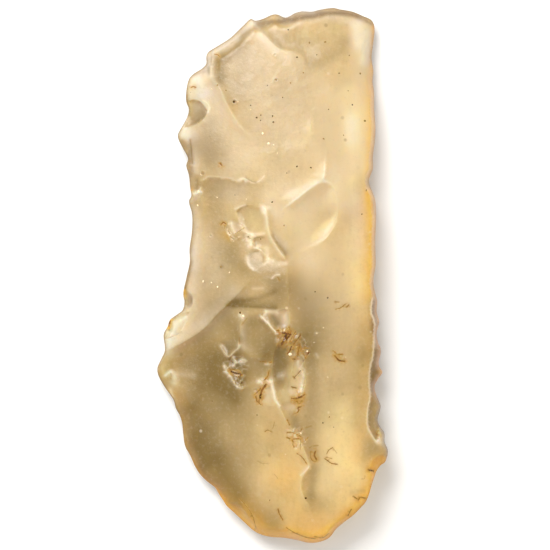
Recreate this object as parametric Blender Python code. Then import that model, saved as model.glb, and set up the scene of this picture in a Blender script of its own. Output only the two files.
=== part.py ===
"""Knapped blade of Libyan desert glass, lying on its smooth underside.

One solid. Seen from above, +Y runs along the blade to its rounded top end, +X to its thick edge, and
+Z is up. The upper face is a smooth sheet through spot heights, cut by flake scars: each scar has a
path or a ring in plan, and a depth. The underside is a shallow bowl with a flat floor that it rests on.
Both faces meet in a thin blunt rim, the outline. Lengths are in millimetres until the mesh is built.
"""
import math

import bpy
import numpy as np
from mathutils import Vector
from mathutils.geometry import delaunay_2d_cdt

MM = 0.001

# --- driving dimensions, mm -------------------------------------------------------------------------
EDGE_STEP = 0.95          # spacing of the mesh points along the outline
UPPER_STEP = 1.1          # spacing of the mesh points on the upper face
UNDER_STEP = 1.9          # and on the underside
RIM = 0.3                 # thickness of the rim where the two faces meet
EDGE_HEIGHT = 1.7         # height of the rim above the ground, on the thin side
EDGE_LIFT_RIGHT = 2.0     # more on the thick side, below its upper third
EDGE_LIFT_CORNER = 2.6    # more at the lower right corner
EDGE_LIFT_BUTT = 0.8      # more at the butt end
EDGE_WAVE = 0.22          # the rim waves up and down by this much
BOWL_WIDTH = 13.0         # the underside curves up over this distance from the edge
BEVEL_THIN = 2.6          # the upper face falls to the edge over this distance, on the thin side
BEVEL_THICK = 0.8         # and on the thick side
BEVEL_CORNER = 1.6        # and at the upper right corner, where the blade is thin
LEAST_THICKNESS = 0.5
ALL_TRIANGLES = 0         # output_type of delaunay_2d_cdt: the triangles of the whole convex hull

# --- outline in plan, going round anticlockwise from the top left -------------------------------------
THIN_SIDE = [
    (-13.0, 33.2), (-13.8, 32.4), (-14.3, 30.5), (-14.35, 28.5), (-13.9, 27.2), (-14.2, 25.9),
    (-15.0, 24.4), (-15.7, 23.1), (-15.7, 22.4), (-14.95, 20.8), (-14.05, 18.9), (-14.35, 17.9),
    (-13.9, 16.2), (-13.7, 14.2), (-13.5, 12.7), (-13.85, 12.1), (-13.85, 11.5), (-13.4, 9.9),
    (-13.4, 6.8), (-13.8, 3.9), (-13.75, 1.8), (-14.3, -0.8), (-14.85, -3.6), (-14.65, -4.9),
    (-14.95, -6.3), (-16.0, -7.1), (-17.05, -7.9), (-17.5, -9.1), (-18.1, -10.3), (-17.9, -13.0),
    (-18.45, -14.3), (-19.15, -15.9), (-19.05, -17.0), (-18.0, -19.0), (-16.45, -21.3),
    (-16.1, -22.6), (-15.4, -23.9), (-15.05, -25.1), (-14.85, -27.0), (-14.55, -28.9),
    (-13.65, -30.6), (-12.9, -32.3), (-12.0, -33.7), (-10.9, -34.8), (-9.5, -35.9), (-8.9, -36.9),
    (-8.0, -38.3), (-7.6, -38.9), (-6.3, -40.1), (-4.6, -41.7), (-3.0, -43.1)]
BUTT_END = [
    (-1.8, -43.7), (-0.3, -44.05), (2.0, -44.2), (4.3, -44.6), (6.1, -45.0), (8.0, -44.8),
    (9.5, -44.1), (10.6, -42.7), (12.0, -41.5)]
THICK_SIDE = [
    (13.3, -40.5), (14.6, -39.2), (15.5, -38.2), (16.1, -36.8), (16.55, -35.3), (17.0, -34.0),
    (17.3, -33.1), (18.1, -32.0), (18.7, -31.6), (19.2, -30.3), (19.2, -29.5), (18.7, -28.2),
    (18.65, -26.7), (17.9, -25.6), (17.55, -24.5), (17.95, -22.9), (18.05, -22.2), (17.5, -20.9),
    (17.05, -19.6), (17.05, -18.8), (17.7, -17.6), (18.35, -16.6), (17.8, -15.7), (17.7, -15.0),
    (18.1, -12.9), (17.6, -11.7), (17.35, -10.3), (17.45, -9.6), (17.8, -8.3), (17.45, -7.0),
    (17.35, -6.2), (17.45, -4.7), (17.1, -3.3), (16.85, -1.8), (16.95, -0.3), (17.2, 1.0),
    (17.15, 5.0), (17.3, 9.8), (17.15, 12.0), (16.7, 13.4), (16.15, 14.8), (16.15, 15.6),
    (16.75, 17.3), (16.75, 19.2), (17.1, 22.0), (17.2, 24.0), (17.0, 27.0), (16.95, 30.0),
    (16.7, 31.9), (16.85, 33.5), (16.55, 35.7), (16.8, 38.1), (17.05, 40.7), (16.6, 42.0)]
TOP_END = [
    (15.0, 42.8), (13.3, 43.5), (11.1, 43.9), (10.3, 44.1), (8.05, 43.85), (6.6, 43.5),
    (4.9, 43.55), (3.9, 43.3), (2.2, 42.5), (0.9, 43.0), (0.1, 43.0), (-1.55, 42.3),
    (-2.95, 42.0), (-3.5, 42.3), (-5.0, 41.0), (-7.0, 39.1), (-9.0, 37.8), (-10.7, 36.7),
    (-11.0, 36.0), (-11.0, 34.8), (-11.7, 34.0)]
OUTLINE = THIN_SIDE + BUTT_END + THICK_SIDE + TOP_END

# --- spot heights of the upper face: x, y, z ----------------------------------------------------------
SPOTS = [
    # top end
    (-8, 35, 4.8), (-2, 37, 5.6), (6, 40, 5.1), (13, 40, 4.2), (16.2, 38, 4.0),
    (14.5, 34, 5.0), (16.3, 33, 4.1), (5, 33, 6.6), (-3, 32, 6.4), (-9, 30, 5.2), (-12.5, 28, 3.6),
    # upper body
    (-5, 27, 6.6), (3, 26, 7.4), (9, 27, 7.3), (13.5, 27, 6.4), (15.8, 27, 5.6),
    (-12.5, 20, 4.0), (-8, 20, 5.8), (-2, 20, 7.4), (4, 19, 8.3), (10, 19, 8.1), (13.5, 19, 7.3),
    (15.8, 19, 6.4),
    # waist
    (-12, 12, 3.8), (-7, 12, 5.4), (-1, 12, 7.8), (6, 11, 8.6), (11, 11, 8.3), (14, 11, 7.8),
    (16, 10, 7.0), (-12, 3, 3.8), (-7, 3, 5.8), (-2, 4, 7.8), (2.5, 3, 9.0), (8, 3, 8.4),
    (12, 3, 8.2), (16, 3, 7.6), (-13, -6, 3.8), (-8, -2, 6.0), (-4, 0.5, 8.0), (2.5, -6, 9.8),
    (7, -7, 8.3), (12, -6, 7.9), (16, -6, 7.2),
    # lower body
    (-16, -14, 3.2), (-11, -13, 4.6), (-6, -12, 7.4), (-1, -12, 9.6), (3, -13, 9.8), (6.5, -14, 8.6),
    (11, -14, 7.7), (16, -14, 6.9), (-13, -22, 3.6), (-8, -22, 4.9), (-3, -22, 7.6), (1, -22, 9.6),
    (6, -22, 8.4), (11, -22, 7.4), (15.4, -22, 6.8), (-11, -31, 3.7), (-6, -31, 4.9), (0, -31, 7.4),
    (5.2, -31, 9.2), (9, -31, 8.1), (13, -31, 7.8), (17, -30, 7.1),
    # butt end
    (-6, -38, 4.4), (0, -38, 6.4), (6, -38, 8.4), (11, -38, 7.8), (0, -42, 5.4), (7, -42.5, 7.1)]

# --- flake scars --------------------------------------------------------------------------------------
# A crease is an arris with a scar on one side only: the face falls by drop within wall, and comes back
# over reach. It fades in and out over the first and last lengths in fade.
LEFT, RIGHT = 1, -1       # side of the path, looking along it
CREASES = {
    "flap": dict(
        path=[(-20.5, -14.6), (-17.9, -13.3), (-15.5, -12.0), (-12.5, -10.2), (-10.8, -8.8),
              (-9.2, -7.0), (-7.5, -5.4), (-6.0, -3.9), (-4.6, -2.4), (-3.0, -0.8), (-1.4, 0.8)],
        side=RIGHT, drop=1.3, wall=1.0, reach=7.0, fade=(0.0, 9.5)),
    "frosted_scar": dict(
        path=[(-10.5, 33.4), (-9.6, 31.8), (-8.8, 30.6), (-8.0, 28.9), (-7.2, 27.2), (-6.3, 25.6),
              (-5.2, 24.2), (-4.0, 23.0), (-2.6, 22.0), (-1.0, 21.2)],
        side=RIGHT, drop=0.7, wall=0.8, reach=5.0, fade=(2.5, 7.0)),
    "left_step": dict(
        path=[(-12.6, 15.2), (-11.4, 15.5), (-10.6, 16.0), (-9.0, 15.9), (-7.2, 15.7), (-5.5, 15.2),
              (-4.7, 15.6), (-3.3, 14.9), (-2.7, 14.9), (-1.8, 15.8), (-1.3, 16.6)],
        side=RIGHT, drop=0.5, wall=0.7, reach=4.5, fade=(1.6, 4.0)),
    "top_scar": dict(
        path=[(-3.4, 41.3), (-2.4, 40.4), (-1.2, 39.4), (0.0, 38.2), (1.2, 37.2), (2.6, 36.8),
              (4.2, 36.5), (4.9, 35.6), (5.5, 34.5), (5.9, 33.6)],
        side=LEFT, drop=0.5, wall=0.7, reach=3.6, fade=(2.0, 4.0)),
    "top_bevel": dict(
        path=[(-11.6, 34.4), (-10.4, 36.0), (-8.4, 37.3), (-6.6, 38.6), (-5.0, 39.8), (-3.6, 40.8),
              (-2.0, 41.6)],
        side=LEFT, drop=1.0, wall=0.7, reach=5.0, fade=(1.0, 1.5)),
    "fold": dict(
        path=[(-8.8, -5.0), (-7.4, -5.3), (-6.0, -5.7), (-4.0, -5.9), (-2.5, -6.0), (-1.2, -6.1),
              (0.6, -6.2)],
        side=LEFT, drop=0.3, wall=1.0, reach=2.4, fade=(2.5, 2.5)),
    "retouch": dict(
        path=[(16.9, -3.4), (16.6, -4.5), (16.4, -6.5), (17.0, -8.5), (16.9, -11.0), (16.7, -14.0),
              (16.2, -16.0), (16.1, -18.0), (16.2, -21.0), (15.9, -22.5), (15.8, -25.0),
              (16.0, -26.0), (16.8, -27.4), (17.3, -28.0), (17.9, -27.7), (18.6, -27.1)],
        side=LEFT, drop=0.9, wall=0.5, reach=3.0, fade=(1.5, 1.5)),
    "dark_step": dict(
        path=[(1.3, -11.0), (0.6, -12.4), (0.1, -14.0), (0.0, -16.0), (0.1, -17.6), (0.5, -19.0)],
        side=LEFT, drop=0.8, wall=0.5, reach=2.6, fade=(1.5, 4.0)),
    "butt_bevel": dict(
        path=[(-9.4, -37.6), (-8.2, -38.1), (-6.9, -38.3), (-5.6, -38.6), (-4.6, -39.8),
              (-3.6, -41.3), (-2.6, -42.8), (-2.2, -44.6)],
        side=RIGHT, drop=0.6, wall=0.4, reach=2.6, fade=(1.0, 1.0)),
}

# A ridge stands up from the face and dies away over the widths left and right of its path.
RIDGES = {
    "dish_brow": dict(
        path=[(1.2, 10.0), (2.3, 11.0), (4.0, 12.2), (6.15, 13.9), (8.3, 15.2), (9.5, 14.9),
              (10.3, 14.3)],
        height=0.45, left=2.4, right=1.0, fade=(3.0, 2.5)),
    "lit_fin": dict(
        path=[(8.8, 20.0), (8.8, 18.8), (8.7, 16.6), (8.4, 15.1)],
        height=0.3, left=0.25, right=1.4, fade=(3.6, 0.6)),
    "small_fin": dict(
        path=[(6.4, 25.6), (6.45, 23.8), (6.5, 22.6), (6.9, 21.4)],
        height=0.12, left=0.3, right=1.3, fade=(2.1, 2.1)),
    "chip_rim": dict(
        path=[(-1.9, 11.2), (-1.2, 10.4), (-0.9, 9.0), (-0.7, 7.4), (-0.3, 6.0), (0.3, 4.9),
              (1.0, 3.8), (1.7, 2.8), (2.3, 1.8)],
        height=0.4, left=0.5, right=1.1, fade=(1.5, 1.2)),
    "right_fall": dict(
        path=[(1.9, 2.5), (2.4, 1.5), (2.5, 0.0), (2.6, -3.0), (2.65, -6.0), (2.7, -9.4)],
        height=0.3, left=1.5, right=1.1, fade=(1.5, 2.0)),
    "spine": dict(
        path=[(-0.2, -16.6), (0.1, -18.4), (0.5, -20.4), (1.0, -21.9), (1.7, -23.5), (2.6, -25.2),
              (3.8, -27.0), (4.8, -28.6), (5.5, -30.2), (6.1, -32.2), (5.4, -33.3), (4.8, -34.4),
              (4.7, -35.8), (5.2, -37.4), (6.1, -39.2), (7.1, -41.4)],
        height=0.5, left=0.8, right=1.3, fade=(2.5, 4.0)),
    "v_chip": dict(
        path=[(-9.0, -11.8), (-8.3, -12.8), (-7.3, -14.0), (-6.4, -13.2), (-5.6, -12.5),
              (-5.7, -11.4)],
        height=0.45, left=0.5, right=0.4, fade=(0.8, 0.8)),
    "star_chip": dict(
        path=[(-8.1, -15.0), (-7.8, -16.3), (-7.1, -17.0), (-6.5, -18.2), (-5.6, -19.2),
              (-4.6, -19.3)],
        height=0.5, left=0.7, right=0.5, fade=(0.8, 0.8)),
    "cluster_bar": dict(
        path=[(-6.6, -14.3), (-5.8, -14.9), (-4.9, -14.5), (-3.9, -14.9)],
        height=0.25, left=0.4, right=0.5, fade=(0.8, 0.8)),
    "spur": dict(
        path=[(-2.3, -6.9), (-1.4, -7.8), (-0.4, -8.8), (0.5, -9.8), (1.4, -10.1)],
        height=0.4, left=0.9, right=0.5, fade=(0.8, 1.0)),
    "cluster_left": dict(
        path=[(-5.0, -7.4), (-5.3, -8.8), (-5.3, -10.2), (-4.9, -11.4)],
        height=0.2, left=0.5, right=0.4, fade=(1.0, 1.0)),
    "top_ridge": dict(
        path=[(-10.4, 33.2), (-10.3, 35.0), (-9.9, 36.3), (-8.2, 37.3), (-6.6, 38.5), (-5.0, 39.7),
              (-3.6, 40.7), (-2.2, 41.4)],
        height=0.3, left=0.4, right=1.2, fade=(1.5, 2.0)),
    "butt_crack": dict(
        path=[(2.4, -42.6), (3.7, -43.4), (5.7, -44.2), (7.1, -44.3), (8.6, -44.0), (9.6, -42.8),
              (11.5, -41.3)],
        height=0.3, left=0.8, right=0.5, fade=(1.0, 1.0)),
    "tip_rib": dict(
        path=[(-17.0, -16.2), (-16.7, -17.2), (-16.5, -18.4)],
        height=0.25, left=0.4, right=0.5, fade=(0.6, 0.6)),
}

# A chip is a scar with a ring all round. It is depth deep, reached within wall, and lean makes it
# deeper towards one side: the share of the depth added per half width, along X and along Y.
CHIPS = {
    "right_dish": dict(
        ring=[(1.6, 9.8), (4.0, 11.9), (6.2, 13.6), (8.4, 14.8), (10.0, 14.3), (10.6, 12.6),
              (10.85, 10.4), (10.6, 8.2), (9.2, 6.0), (8.1, 5.0), (6.4, 4.1), (4.4, 3.6),
              (2.4, 4.4), (1.2, 7.0)],
        depth=0.5, wall=1.3, lean=(1.4, 0)),
    "window": dict(
        ring=[(-15.6, 28.2), (-14.2, 28.7), (-13.0, 28.9), (-11.9, 28.5), (-11.1, 27.5),
              (-10.8, 26.7), (-11.1, 25.9), (-11.8, 25.2), (-12.7, 24.6), (-14.2, 24.1),
              (-15.6, 24.2)],
        depth=0.8, wall=0.15, lean=(0, 0)),
    "upper_chip": dict(
        ring=[(-6.0, 10.2), (-5.2, 11.0), (-4.2, 11.2), (-3.0, 11.1), (-1.9, 10.6), (-1.2, 9.6),
              (-1.0, 8.2), (-1.4, 6.9), (-2.6, 6.4), (-4.2, 6.5), (-5.3, 7.8), (-5.8, 9.0)],
        depth=0.28, wall=0.4, lean=(-0.2, 0.2)),
    "facet": dict(
        ring=[(-7.1, 8.9), (-5.8, 8.4), (-4.6, 7.6), (-6.1, 6.5)],
        depth=0.35, wall=0.3, lean=(0.4, -0.6)),
    "middle_chip": dict(
        ring=[(-3.3, 5.4), (-2.4, 6.0), (-1.2, 6.1), (-0.3, 5.4), (-0.4, 4.6), (-1.3, 4.1),
              (-2.8, 4.4)],
        depth=0.25, wall=0.25, lean=(0, 0)),
    "lower_chip": dict(
        ring=[(-4.2, 1.8), (-3.9, 3.0), (-3.0, 3.9), (-1.8, 4.0), (-1.1, 3.2), (-1.1, 2.0),
              (-1.7, 1.2), (-3.2, 0.5), (-3.9, 0.9)],
        depth=0.14, wall=0.4, lean=(0.3, 0.3)),
    "wedge_chip": dict(
        ring=[(-1.1, 2.0), (-0.5, 2.8), (1.0, 3.2), (2.0, 1.9), (1.0, 1.2), (-0.5, 1.3)],
        depth=0.12, wall=0.4, lean=(0.6, 0.5)),
    "patch": dict(
        ring=[(-1.1, -6.2), (0.6, -6.4), (2.5, -6.1), (2.65, -9.0), (1.8, -9.5), (0.9, -9.2),
              (-0.2, -8.2)],
        depth=0.6, wall=0.6, lean=(0.6, -0.3)),
    "upper_nook": dict(
        ring=[(-5.0, -7.4), (-3.4, -6.6), (-1.8, -7.4), (-0.4, -8.9), (0.4, -10.2), (0.1, -12.0),
              (-1.0, -13.4), (-3.4, -14.0), (-5.0, -12.6), (-5.3, -10.0)],
        depth=0.15, wall=0.8, lean=(0, 0)),
    "v_pool": dict(
        ring=[(-8.8, -11.8), (-7.4, -11.0), (-5.9, -11.3), (-5.8, -12.3), (-6.8, -13.3), (-7.4, -13.8)],
        depth=0.2, wall=0.4, lean=(0, 0)),
    "lower_nook": dict(
        ring=[(-7.2, -14.4), (-5.8, -13.4), (-3.2, -14.2), (-1.0, -14.6), (-0.7, -16.4),
              (-2.4, -18.0), (-4.4, -19.0), (-6.0, -18.4), (-7.4, -16.4)],
        depth=0.6, wall=0.8, lean=(0, 0)),
    "strip": dict(
        ring=[(3.8, -13.9), (5.0, -14.0), (5.4, -16.4), (5.3, -19.0), (4.8, -20.5), (3.0, -20.8),
              (2.7, -18.6), (3.3, -16.4)],
        depth=0.6, wall=0.7, lean=(1.0, -0.2)),
    "spine_chip": dict(
        ring=[(-1.6, -18.9), (-0.4, -18.7), (0.2, -20.2), (0.8, -21.8), (-0.4, -22.1), (-1.6, -21.5),
              (-2.0, -20.4)],
        depth=0.25, wall=0.6, lean=(0.6, 0.2)),
    "step_chip": dict(
        ring=[(1.4, -22.4), (2.3, -21.5), (3.8, -21.4), (4.4, -22.4), (3.8, -23.6), (2.7, -24.9),
              (1.9, -23.8)],
        depth=0.28, wall=0.5, lean=(0.4, 0.3)),
    "edge_notch": dict(
        ring=[(-15.0, -2.6), (-14.0, -3.0), (-13.2, -4.0), (-13.2, -5.2), (-14.0, -6.2),
              (-15.5, -6.0)],
        depth=0.8, wall=0.4, lean=(0, 0)),
    "edge_chip": dict(
        ring=[(-18.6, -8.6), (-17.0, -7.4), (-15.2, -6.8), (-13.8, -6.6), (-14.6, -8.6),
              (-15.2, -9.7), (-16.4, -10.7), (-18.4, -11.2)],
        depth=0.7, wall=0.4, lean=(0, 0)),
    "side_chip": dict(
        ring=[(-14.6, 14.4), (-12.6, 13.9), (-11.7, 13.2), (-12.2, 12.2), (-13.2, 11.6), (-14.6, 11.4)],
        depth=0.6, wall=0.4, lean=(0, 0)),
    "tip_chip": dict(
        ring=[(-19.4, -16.6), (-18.0, -16.8), (-16.9, -16.9), (-16.7, -18.2), (-17.6, -19.0),
              (-19.0, -18.6)],
        depth=0.5, wall=0.4, lean=(0, 0)),
    "tooth_chip": dict(
        ring=[(17.0, -15.4), (18.6, -15.8), (18.8, -17.0), (17.6, -17.8), (16.9, -17.0)],
        depth=0.5, wall=0.4, lean=(0, 0)),
    "corner_chip": dict(
        ring=[(16.8, -31.2), (18.2, -30.2), (19.6, -31.0), (18.6, -33.0), (17.0, -34.2), (16.2, -33.0)],
        depth=0.7, wall=0.6, lean=(0.4, -0.4)),
}


# --- curves and distances in plan ---------------------------------------------------------------------
def curve_through(points, step, closed=False):
    """Smooth curve through the points (centripetal Catmull-Rom), with a point about every step."""
    pts = np.array(points, float)
    if closed:
        pts = np.vstack([pts[-1:], pts, pts[:2]])
    else:
        pts = np.vstack([2 * pts[:1] - pts[1:2], pts, 2 * pts[-1:] - pts[-2:-1]])
    pieces = []
    for p0, p1, p2, p3 in zip(pts, pts[1:], pts[2:], pts[3:]):
        t1 = math.dist(p0, p1) ** 0.5
        t2 = t1 + math.dist(p1, p2) ** 0.5
        t3 = t2 + math.dist(p2, p3) ** 0.5
        count = max(1, round(math.dist(p1, p2) / step))
        t = t1 + (t2 - t1) * np.arange(count)[:, None] / count
        a1 = (t1 - t) / t1 * p0 + t / t1 * p1
        a2 = (t2 - t) / (t2 - t1) * p1 + (t - t1) / (t2 - t1) * p2
        a3 = (t3 - t) / (t3 - t2) * p2 + (t - t2) / (t3 - t2) * p3
        b1 = (t2 - t) / t2 * a1 + t / t2 * a2
        b2 = (t3 - t) / (t3 - t1) * a2 + (t - t1) / (t3 - t1) * a3
        pieces.append((t2 - t) / (t2 - t1) * b1 + (t - t1) / (t2 - t1) * b2)
    if not closed:
        pieces.append(pts[-2:-1])
    return np.vstack(pieces)


def nearest(curve, xy):
    """For every point in xy: its distance to the curve, its side of it, and how far along that is."""
    least = np.full(len(xy), np.inf)
    side = np.ones(len(xy))
    along = np.zeros(len(xy))
    start = 0.0
    for a, b in zip(curve, curve[1:]):
        ab = b - a
        rel = xy - a
        t = np.clip(rel @ ab / (ab @ ab), 0, 1)
        off = rel - t[:, None] * ab
        square = (off ** 2).sum(axis=1)
        hit = square < least
        least[hit] = square[hit]
        cross = ab[0] * rel[hit, 1] - ab[1] * rel[hit, 0]
        side[hit] = np.where(cross >= 0, LEFT, RIGHT)
        along[hit] = start + t[hit] * math.dist(a, b)
        start += math.dist(a, b)
    return np.sqrt(least), side, along, start


def inside(ring, xy):
    """True for the points in xy that lie inside the closed ring."""
    x, y = xy.T
    result = np.zeros(len(xy), bool)
    for (x0, y0), (x1, y1) in zip(ring, np.roll(ring, -1, axis=0)):
        if y0 != y1:
            result ^= ((y0 > y) != (y1 > y)) & (x < x0 + (x1 - x0) * (y - y0) / (y1 - y0))
    return result


def closed_loop(ring):
    return np.vstack([ring, ring[:1]])


def smooth_share(value, length):
    """Rises smoothly from 0 to 1 as value goes from 0 to length."""
    t = np.clip(value / np.maximum(length, 1e-6), 0, 1)
    return t * t * (3 - 2 * t)


# --- heights ------------------------------------------------------------------------------------------
def sheet_heights(spots, xy):
    """Heights at xy of the thin plate that bends through the spot heights."""
    spots = np.array(spots, float)
    knots = spots[:, :2]

    def bend(points):
        square = ((points[:, None, :] - knots[None, :, :]) ** 2).sum(axis=2)
        return square * np.log(square + 1e-9)

    count = len(spots)
    system = np.zeros((count + 3, count + 3))
    system[:count, :count] = bend(knots) + 2.0 * np.eye(count)
    system[:count, count] = 1
    system[:count, count + 1:] = knots
    system[count:, :count] = system[:count, count:].T
    weights = np.linalg.solve(system, np.append(spots[:, 2], [0, 0, 0]))
    return bend(xy) @ weights[:count] + weights[count] + xy @ weights[count + 1:]


def end_fade(along, length, fade):
    return smooth_share(along, fade[0]) * smooth_share(length - along, fade[1])


def crease_depth(xy, path, side, drop, wall, reach, fade):
    off, which, along, length = nearest(curve_through(path, EDGE_STEP), xy)
    depth = drop * (1 - np.exp(-off / wall)) * np.exp(-(off / reach) ** 2)
    return np.where(which == side, depth * end_fade(along, length, fade), 0)


def ridge_height(xy, path, height, left, right, fade):
    off, which, along, length = nearest(curve_through(path, EDGE_STEP), xy)
    width = np.where(which == LEFT, left, right)
    falloff = np.exp(-off / width) * (1 - smooth_share(off, 4 * width))
    return height * falloff * end_fade(along, length, fade)


def chip_depth(xy, ring, depth, wall, lean):
    curve = curve_through(ring, EDGE_STEP, closed=True)
    off = nearest(closed_loop(curve), xy)[0]
    middle = curve.mean(axis=0)
    half_width = np.abs(curve - middle).max()
    tilt = np.clip(1 + (xy - middle) @ np.array(lean, float) / half_width, 0, 3)
    return np.where(inside(curve, xy), depth * tilt * (1 - np.exp(-off / wall)), 0)


def edge_height(xy):
    """Height of the lower side of the rim above the ground."""
    x, y = xy.T
    right = np.clip(x / 16, 0, 1) * smooth_share(24 - y, 34)
    corner = np.clip((x + 4) / 20, 0, 1) * np.clip((-18 - y) / 20, 0, 1)
    wave = EDGE_WAVE * np.sin(1.35 * y + 0.4 * x) * np.sin(0.31 * y + 0.8)
    return (EDGE_HEIGHT + EDGE_LIFT_RIGHT * right + EDGE_LIFT_CORNER * corner
            + EDGE_LIFT_BUTT * np.clip((-30 - y) / 14, 0, 1) + wave)


def underside(xy, from_edge):
    """A shallow bowl: level with the ground in the middle, and up to the rim all round."""
    return edge_height(xy) * np.clip(1 - from_edge / BOWL_WIDTH, 0, 1) ** 1.6


def upper_face(xy, from_edge):
    z = sheet_heights(SPOTS, xy)
    for crease in CREASES.values():
        z -= crease_depth(xy, **crease)
    for ridge in RIDGES.values():
        z += ridge_height(xy, **ridge)
    for chip in CHIPS.values():
        z -= chip_depth(xy, **chip)
    edge = edge_height(xy) + RIM
    right = np.clip((xy[:, 0] + 8) / 22, 0, 1)
    thick = BEVEL_THICK + (BEVEL_CORNER - BEVEL_THICK) * smooth_share(xy[:, 1] - 28, 7)
    bevel = BEVEL_THIN + (thick - BEVEL_THIN) * right
    z = edge + (z - edge) * (1 - np.clip(1 - from_edge / bevel, 0, 1) ** 2)
    return np.maximum(z, underside(xy, from_edge) + np.minimum(LEAST_THICKNESS, RIM + from_edge))


# --- mesh ---------------------------------------------------------------------------------------------
def scar_lines():
    """The paths and rings of all scars, and the bevel's inner line on the thick side, as curves."""
    lines = [curve_through(scar["path"], UPPER_STEP) for scar in [*CREASES.values(), *RIDGES.values()]]
    rings = [curve_through(chip["ring"], UPPER_STEP, closed=True) for chip in CHIPS.values()]
    bevel = curve_through(THICK_SIDE, UPPER_STEP) - np.array([BEVEL_THICK, 0])
    return lines + [closed_loop(ring) for ring in rings] + [bevel]


def net(ring, lines, step):
    """Triangles that fill the ring with a point about every step, with edges along the lines."""
    points = list(ring)
    edges = [(i, (i + 1) % len(ring)) for i in range(len(ring))]
    loop = closed_loop(ring)

    def add(point):
        gap = np.linalg.norm(np.array(points) - point, axis=1)
        close = int(gap.argmin())
        if gap[close] < 0.4 * step:
            return close
        points.append(point)
        return len(points) - 1

    for line in lines:
        kept = inside(ring, line) & (nearest(loop, line)[0] > 0.5 * step)
        previous = None
        for point, keep in zip(line, kept):
            index = add(point) if keep else None
            if None not in (previous, index) and previous != index:
                edges.append((previous, index))
            previous = index

    lows, highs = ring.min(axis=0), ring.max(axis=0)
    columns = np.arange(lows[0], highs[0], step)
    rows = np.arange(lows[1], highs[1], step * math.sqrt(0.75))
    lattice = np.array([(x + step / 2 * (row % 2), y) for row, y in enumerate(rows) for x in columns])
    lattice = lattice[inside(ring, lattice)]
    lattice = lattice[nearest(loop, lattice)[0] > 0.6 * step]
    fixed = np.array(points)
    apart = [np.linalg.norm(fixed - point, axis=1).min() > 0.6 * step for point in lattice]
    points = np.vstack([fixed, lattice[apart]])

    found = delaunay_2d_cdt([Vector(point) for point in points], edges, [], ALL_TRIANGLES, 1e-5, True)
    xy, faces, sources = np.array([tuple(v) for v in found[0]]), np.array(found[2]), found[3]
    faces = faces[inside(ring, xy[faces].mean(axis=1))]
    on_ring = {source: i for i, group in enumerate(sources) for source in group if source < len(ring)}
    return xy, faces, [on_ring[i] for i in range(len(ring))]


def blade_mesh():
    ring = curve_through(OUTLINE, EDGE_STEP, closed=True)
    loop = closed_loop(ring)
    centre = (ring.min(axis=0) + ring.max(axis=0)) / 2
    top_xy, top_faces, top_ring = net(ring, scar_lines(), UPPER_STEP)
    low_xy, low_faces, low_ring = net(ring, [], UNDER_STEP)
    top_z = upper_face(top_xy, nearest(loop, top_xy)[0])
    low_z = underside(low_xy, nearest(loop, low_xy)[0])

    points = np.vstack([np.column_stack([top_xy - centre, top_z]), np.column_stack([low_xy - centre, low_z])])
    low_start = len(top_xy)
    faces = top_faces.tolist() + (low_start + low_faces[:, ::-1]).tolist()
    low_ring = [low_start + i for i in low_ring]
    for i in range(len(ring)):
        after = (i + 1) % len(ring)
        faces.append((top_ring[i], low_ring[i], low_ring[after], top_ring[after]))
    mesh = bpy.data.meshes.new("desert_glass")
    mesh.from_pydata((points * MM).tolist(), [], faces)
    mesh.validate()
    return mesh


# --- material and object ------------------------------------------------------------------------------
def glass_material():
    material = bpy.data.materials.new("pale_yellow_glass")
    material.use_nodes = True
    shader = material.node_tree.nodes["Principled BSDF"]
    shader.inputs["Base Color"].default_value = (0.78, 0.60, 0.33, 1.0)
    shader.inputs["Roughness"].default_value = 0.3
    shader.inputs["Metallic"].default_value = 0.0
    shader.inputs["IOR"].default_value = 1.46
    shader.inputs["Transmission Weight"].default_value = 0.4
    return material


def build():
    for old in list(bpy.data.objects):
        bpy.data.objects.remove(old)
    mesh = blade_mesh()
    mesh.materials.append(glass_material())
    blade = bpy.data.objects.new("desert_glass", mesh)
    bpy.context.scene.collection.objects.link(blade)
    mesh.shade_smooth()
    mesh.set_sharp_from_angle(angle=math.radians(25))


build()
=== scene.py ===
# %% [markdown]
# # A knapped blade of desert glass
# Desert glass is natural glass, melted out of sand. This piece was struck into a long flat blade: a
# smooth underside, an upper face cut by flake scars, and thin scalloped edges. Light soaks into it and
# comes out again all over, so it looks milky and pale yellow, and warmer where it leaves by an edge.
# The whole thing is one piece. So this lesson makes one fine mesh, paints it with soft zones of tint and of
# painted glow, highlight and shade, gives it its glass, presses a few mineral grains into it, and lights it
# on white paper.

# %% Load the fixed model
import math

import bpy
import numpy as np
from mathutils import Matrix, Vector, kdtree, noise
from mathutils.geometry import delaunay_2d_cdt


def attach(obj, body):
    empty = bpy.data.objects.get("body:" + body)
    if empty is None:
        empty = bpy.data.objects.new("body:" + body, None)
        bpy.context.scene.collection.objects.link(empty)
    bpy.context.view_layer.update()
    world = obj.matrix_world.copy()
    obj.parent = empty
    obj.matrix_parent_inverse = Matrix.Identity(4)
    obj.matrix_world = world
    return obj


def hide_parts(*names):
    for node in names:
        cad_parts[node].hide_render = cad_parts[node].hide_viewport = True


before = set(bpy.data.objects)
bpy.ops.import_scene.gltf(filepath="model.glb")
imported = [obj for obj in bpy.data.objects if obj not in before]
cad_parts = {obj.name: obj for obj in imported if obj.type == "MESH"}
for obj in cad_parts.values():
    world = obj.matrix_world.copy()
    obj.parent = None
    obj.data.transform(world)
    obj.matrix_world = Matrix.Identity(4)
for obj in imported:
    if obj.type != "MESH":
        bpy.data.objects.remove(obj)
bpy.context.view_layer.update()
MM = 0.001


def place_object(name, data):
    """A new object of the scene, made of data."""
    made = bpy.data.objects.new(name, data)
    bpy.context.scene.collection.objects.link(made)
    return made

# %% [markdown]
# ## The outline
# The edge of a knapped blade is a row of small bites and teeth. A few points for each bite are enough
# when a smooth curve runs through them. Lengths are in millimetres, +Y along the blade and +X to its
# thick side, as on the fixed model.

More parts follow.
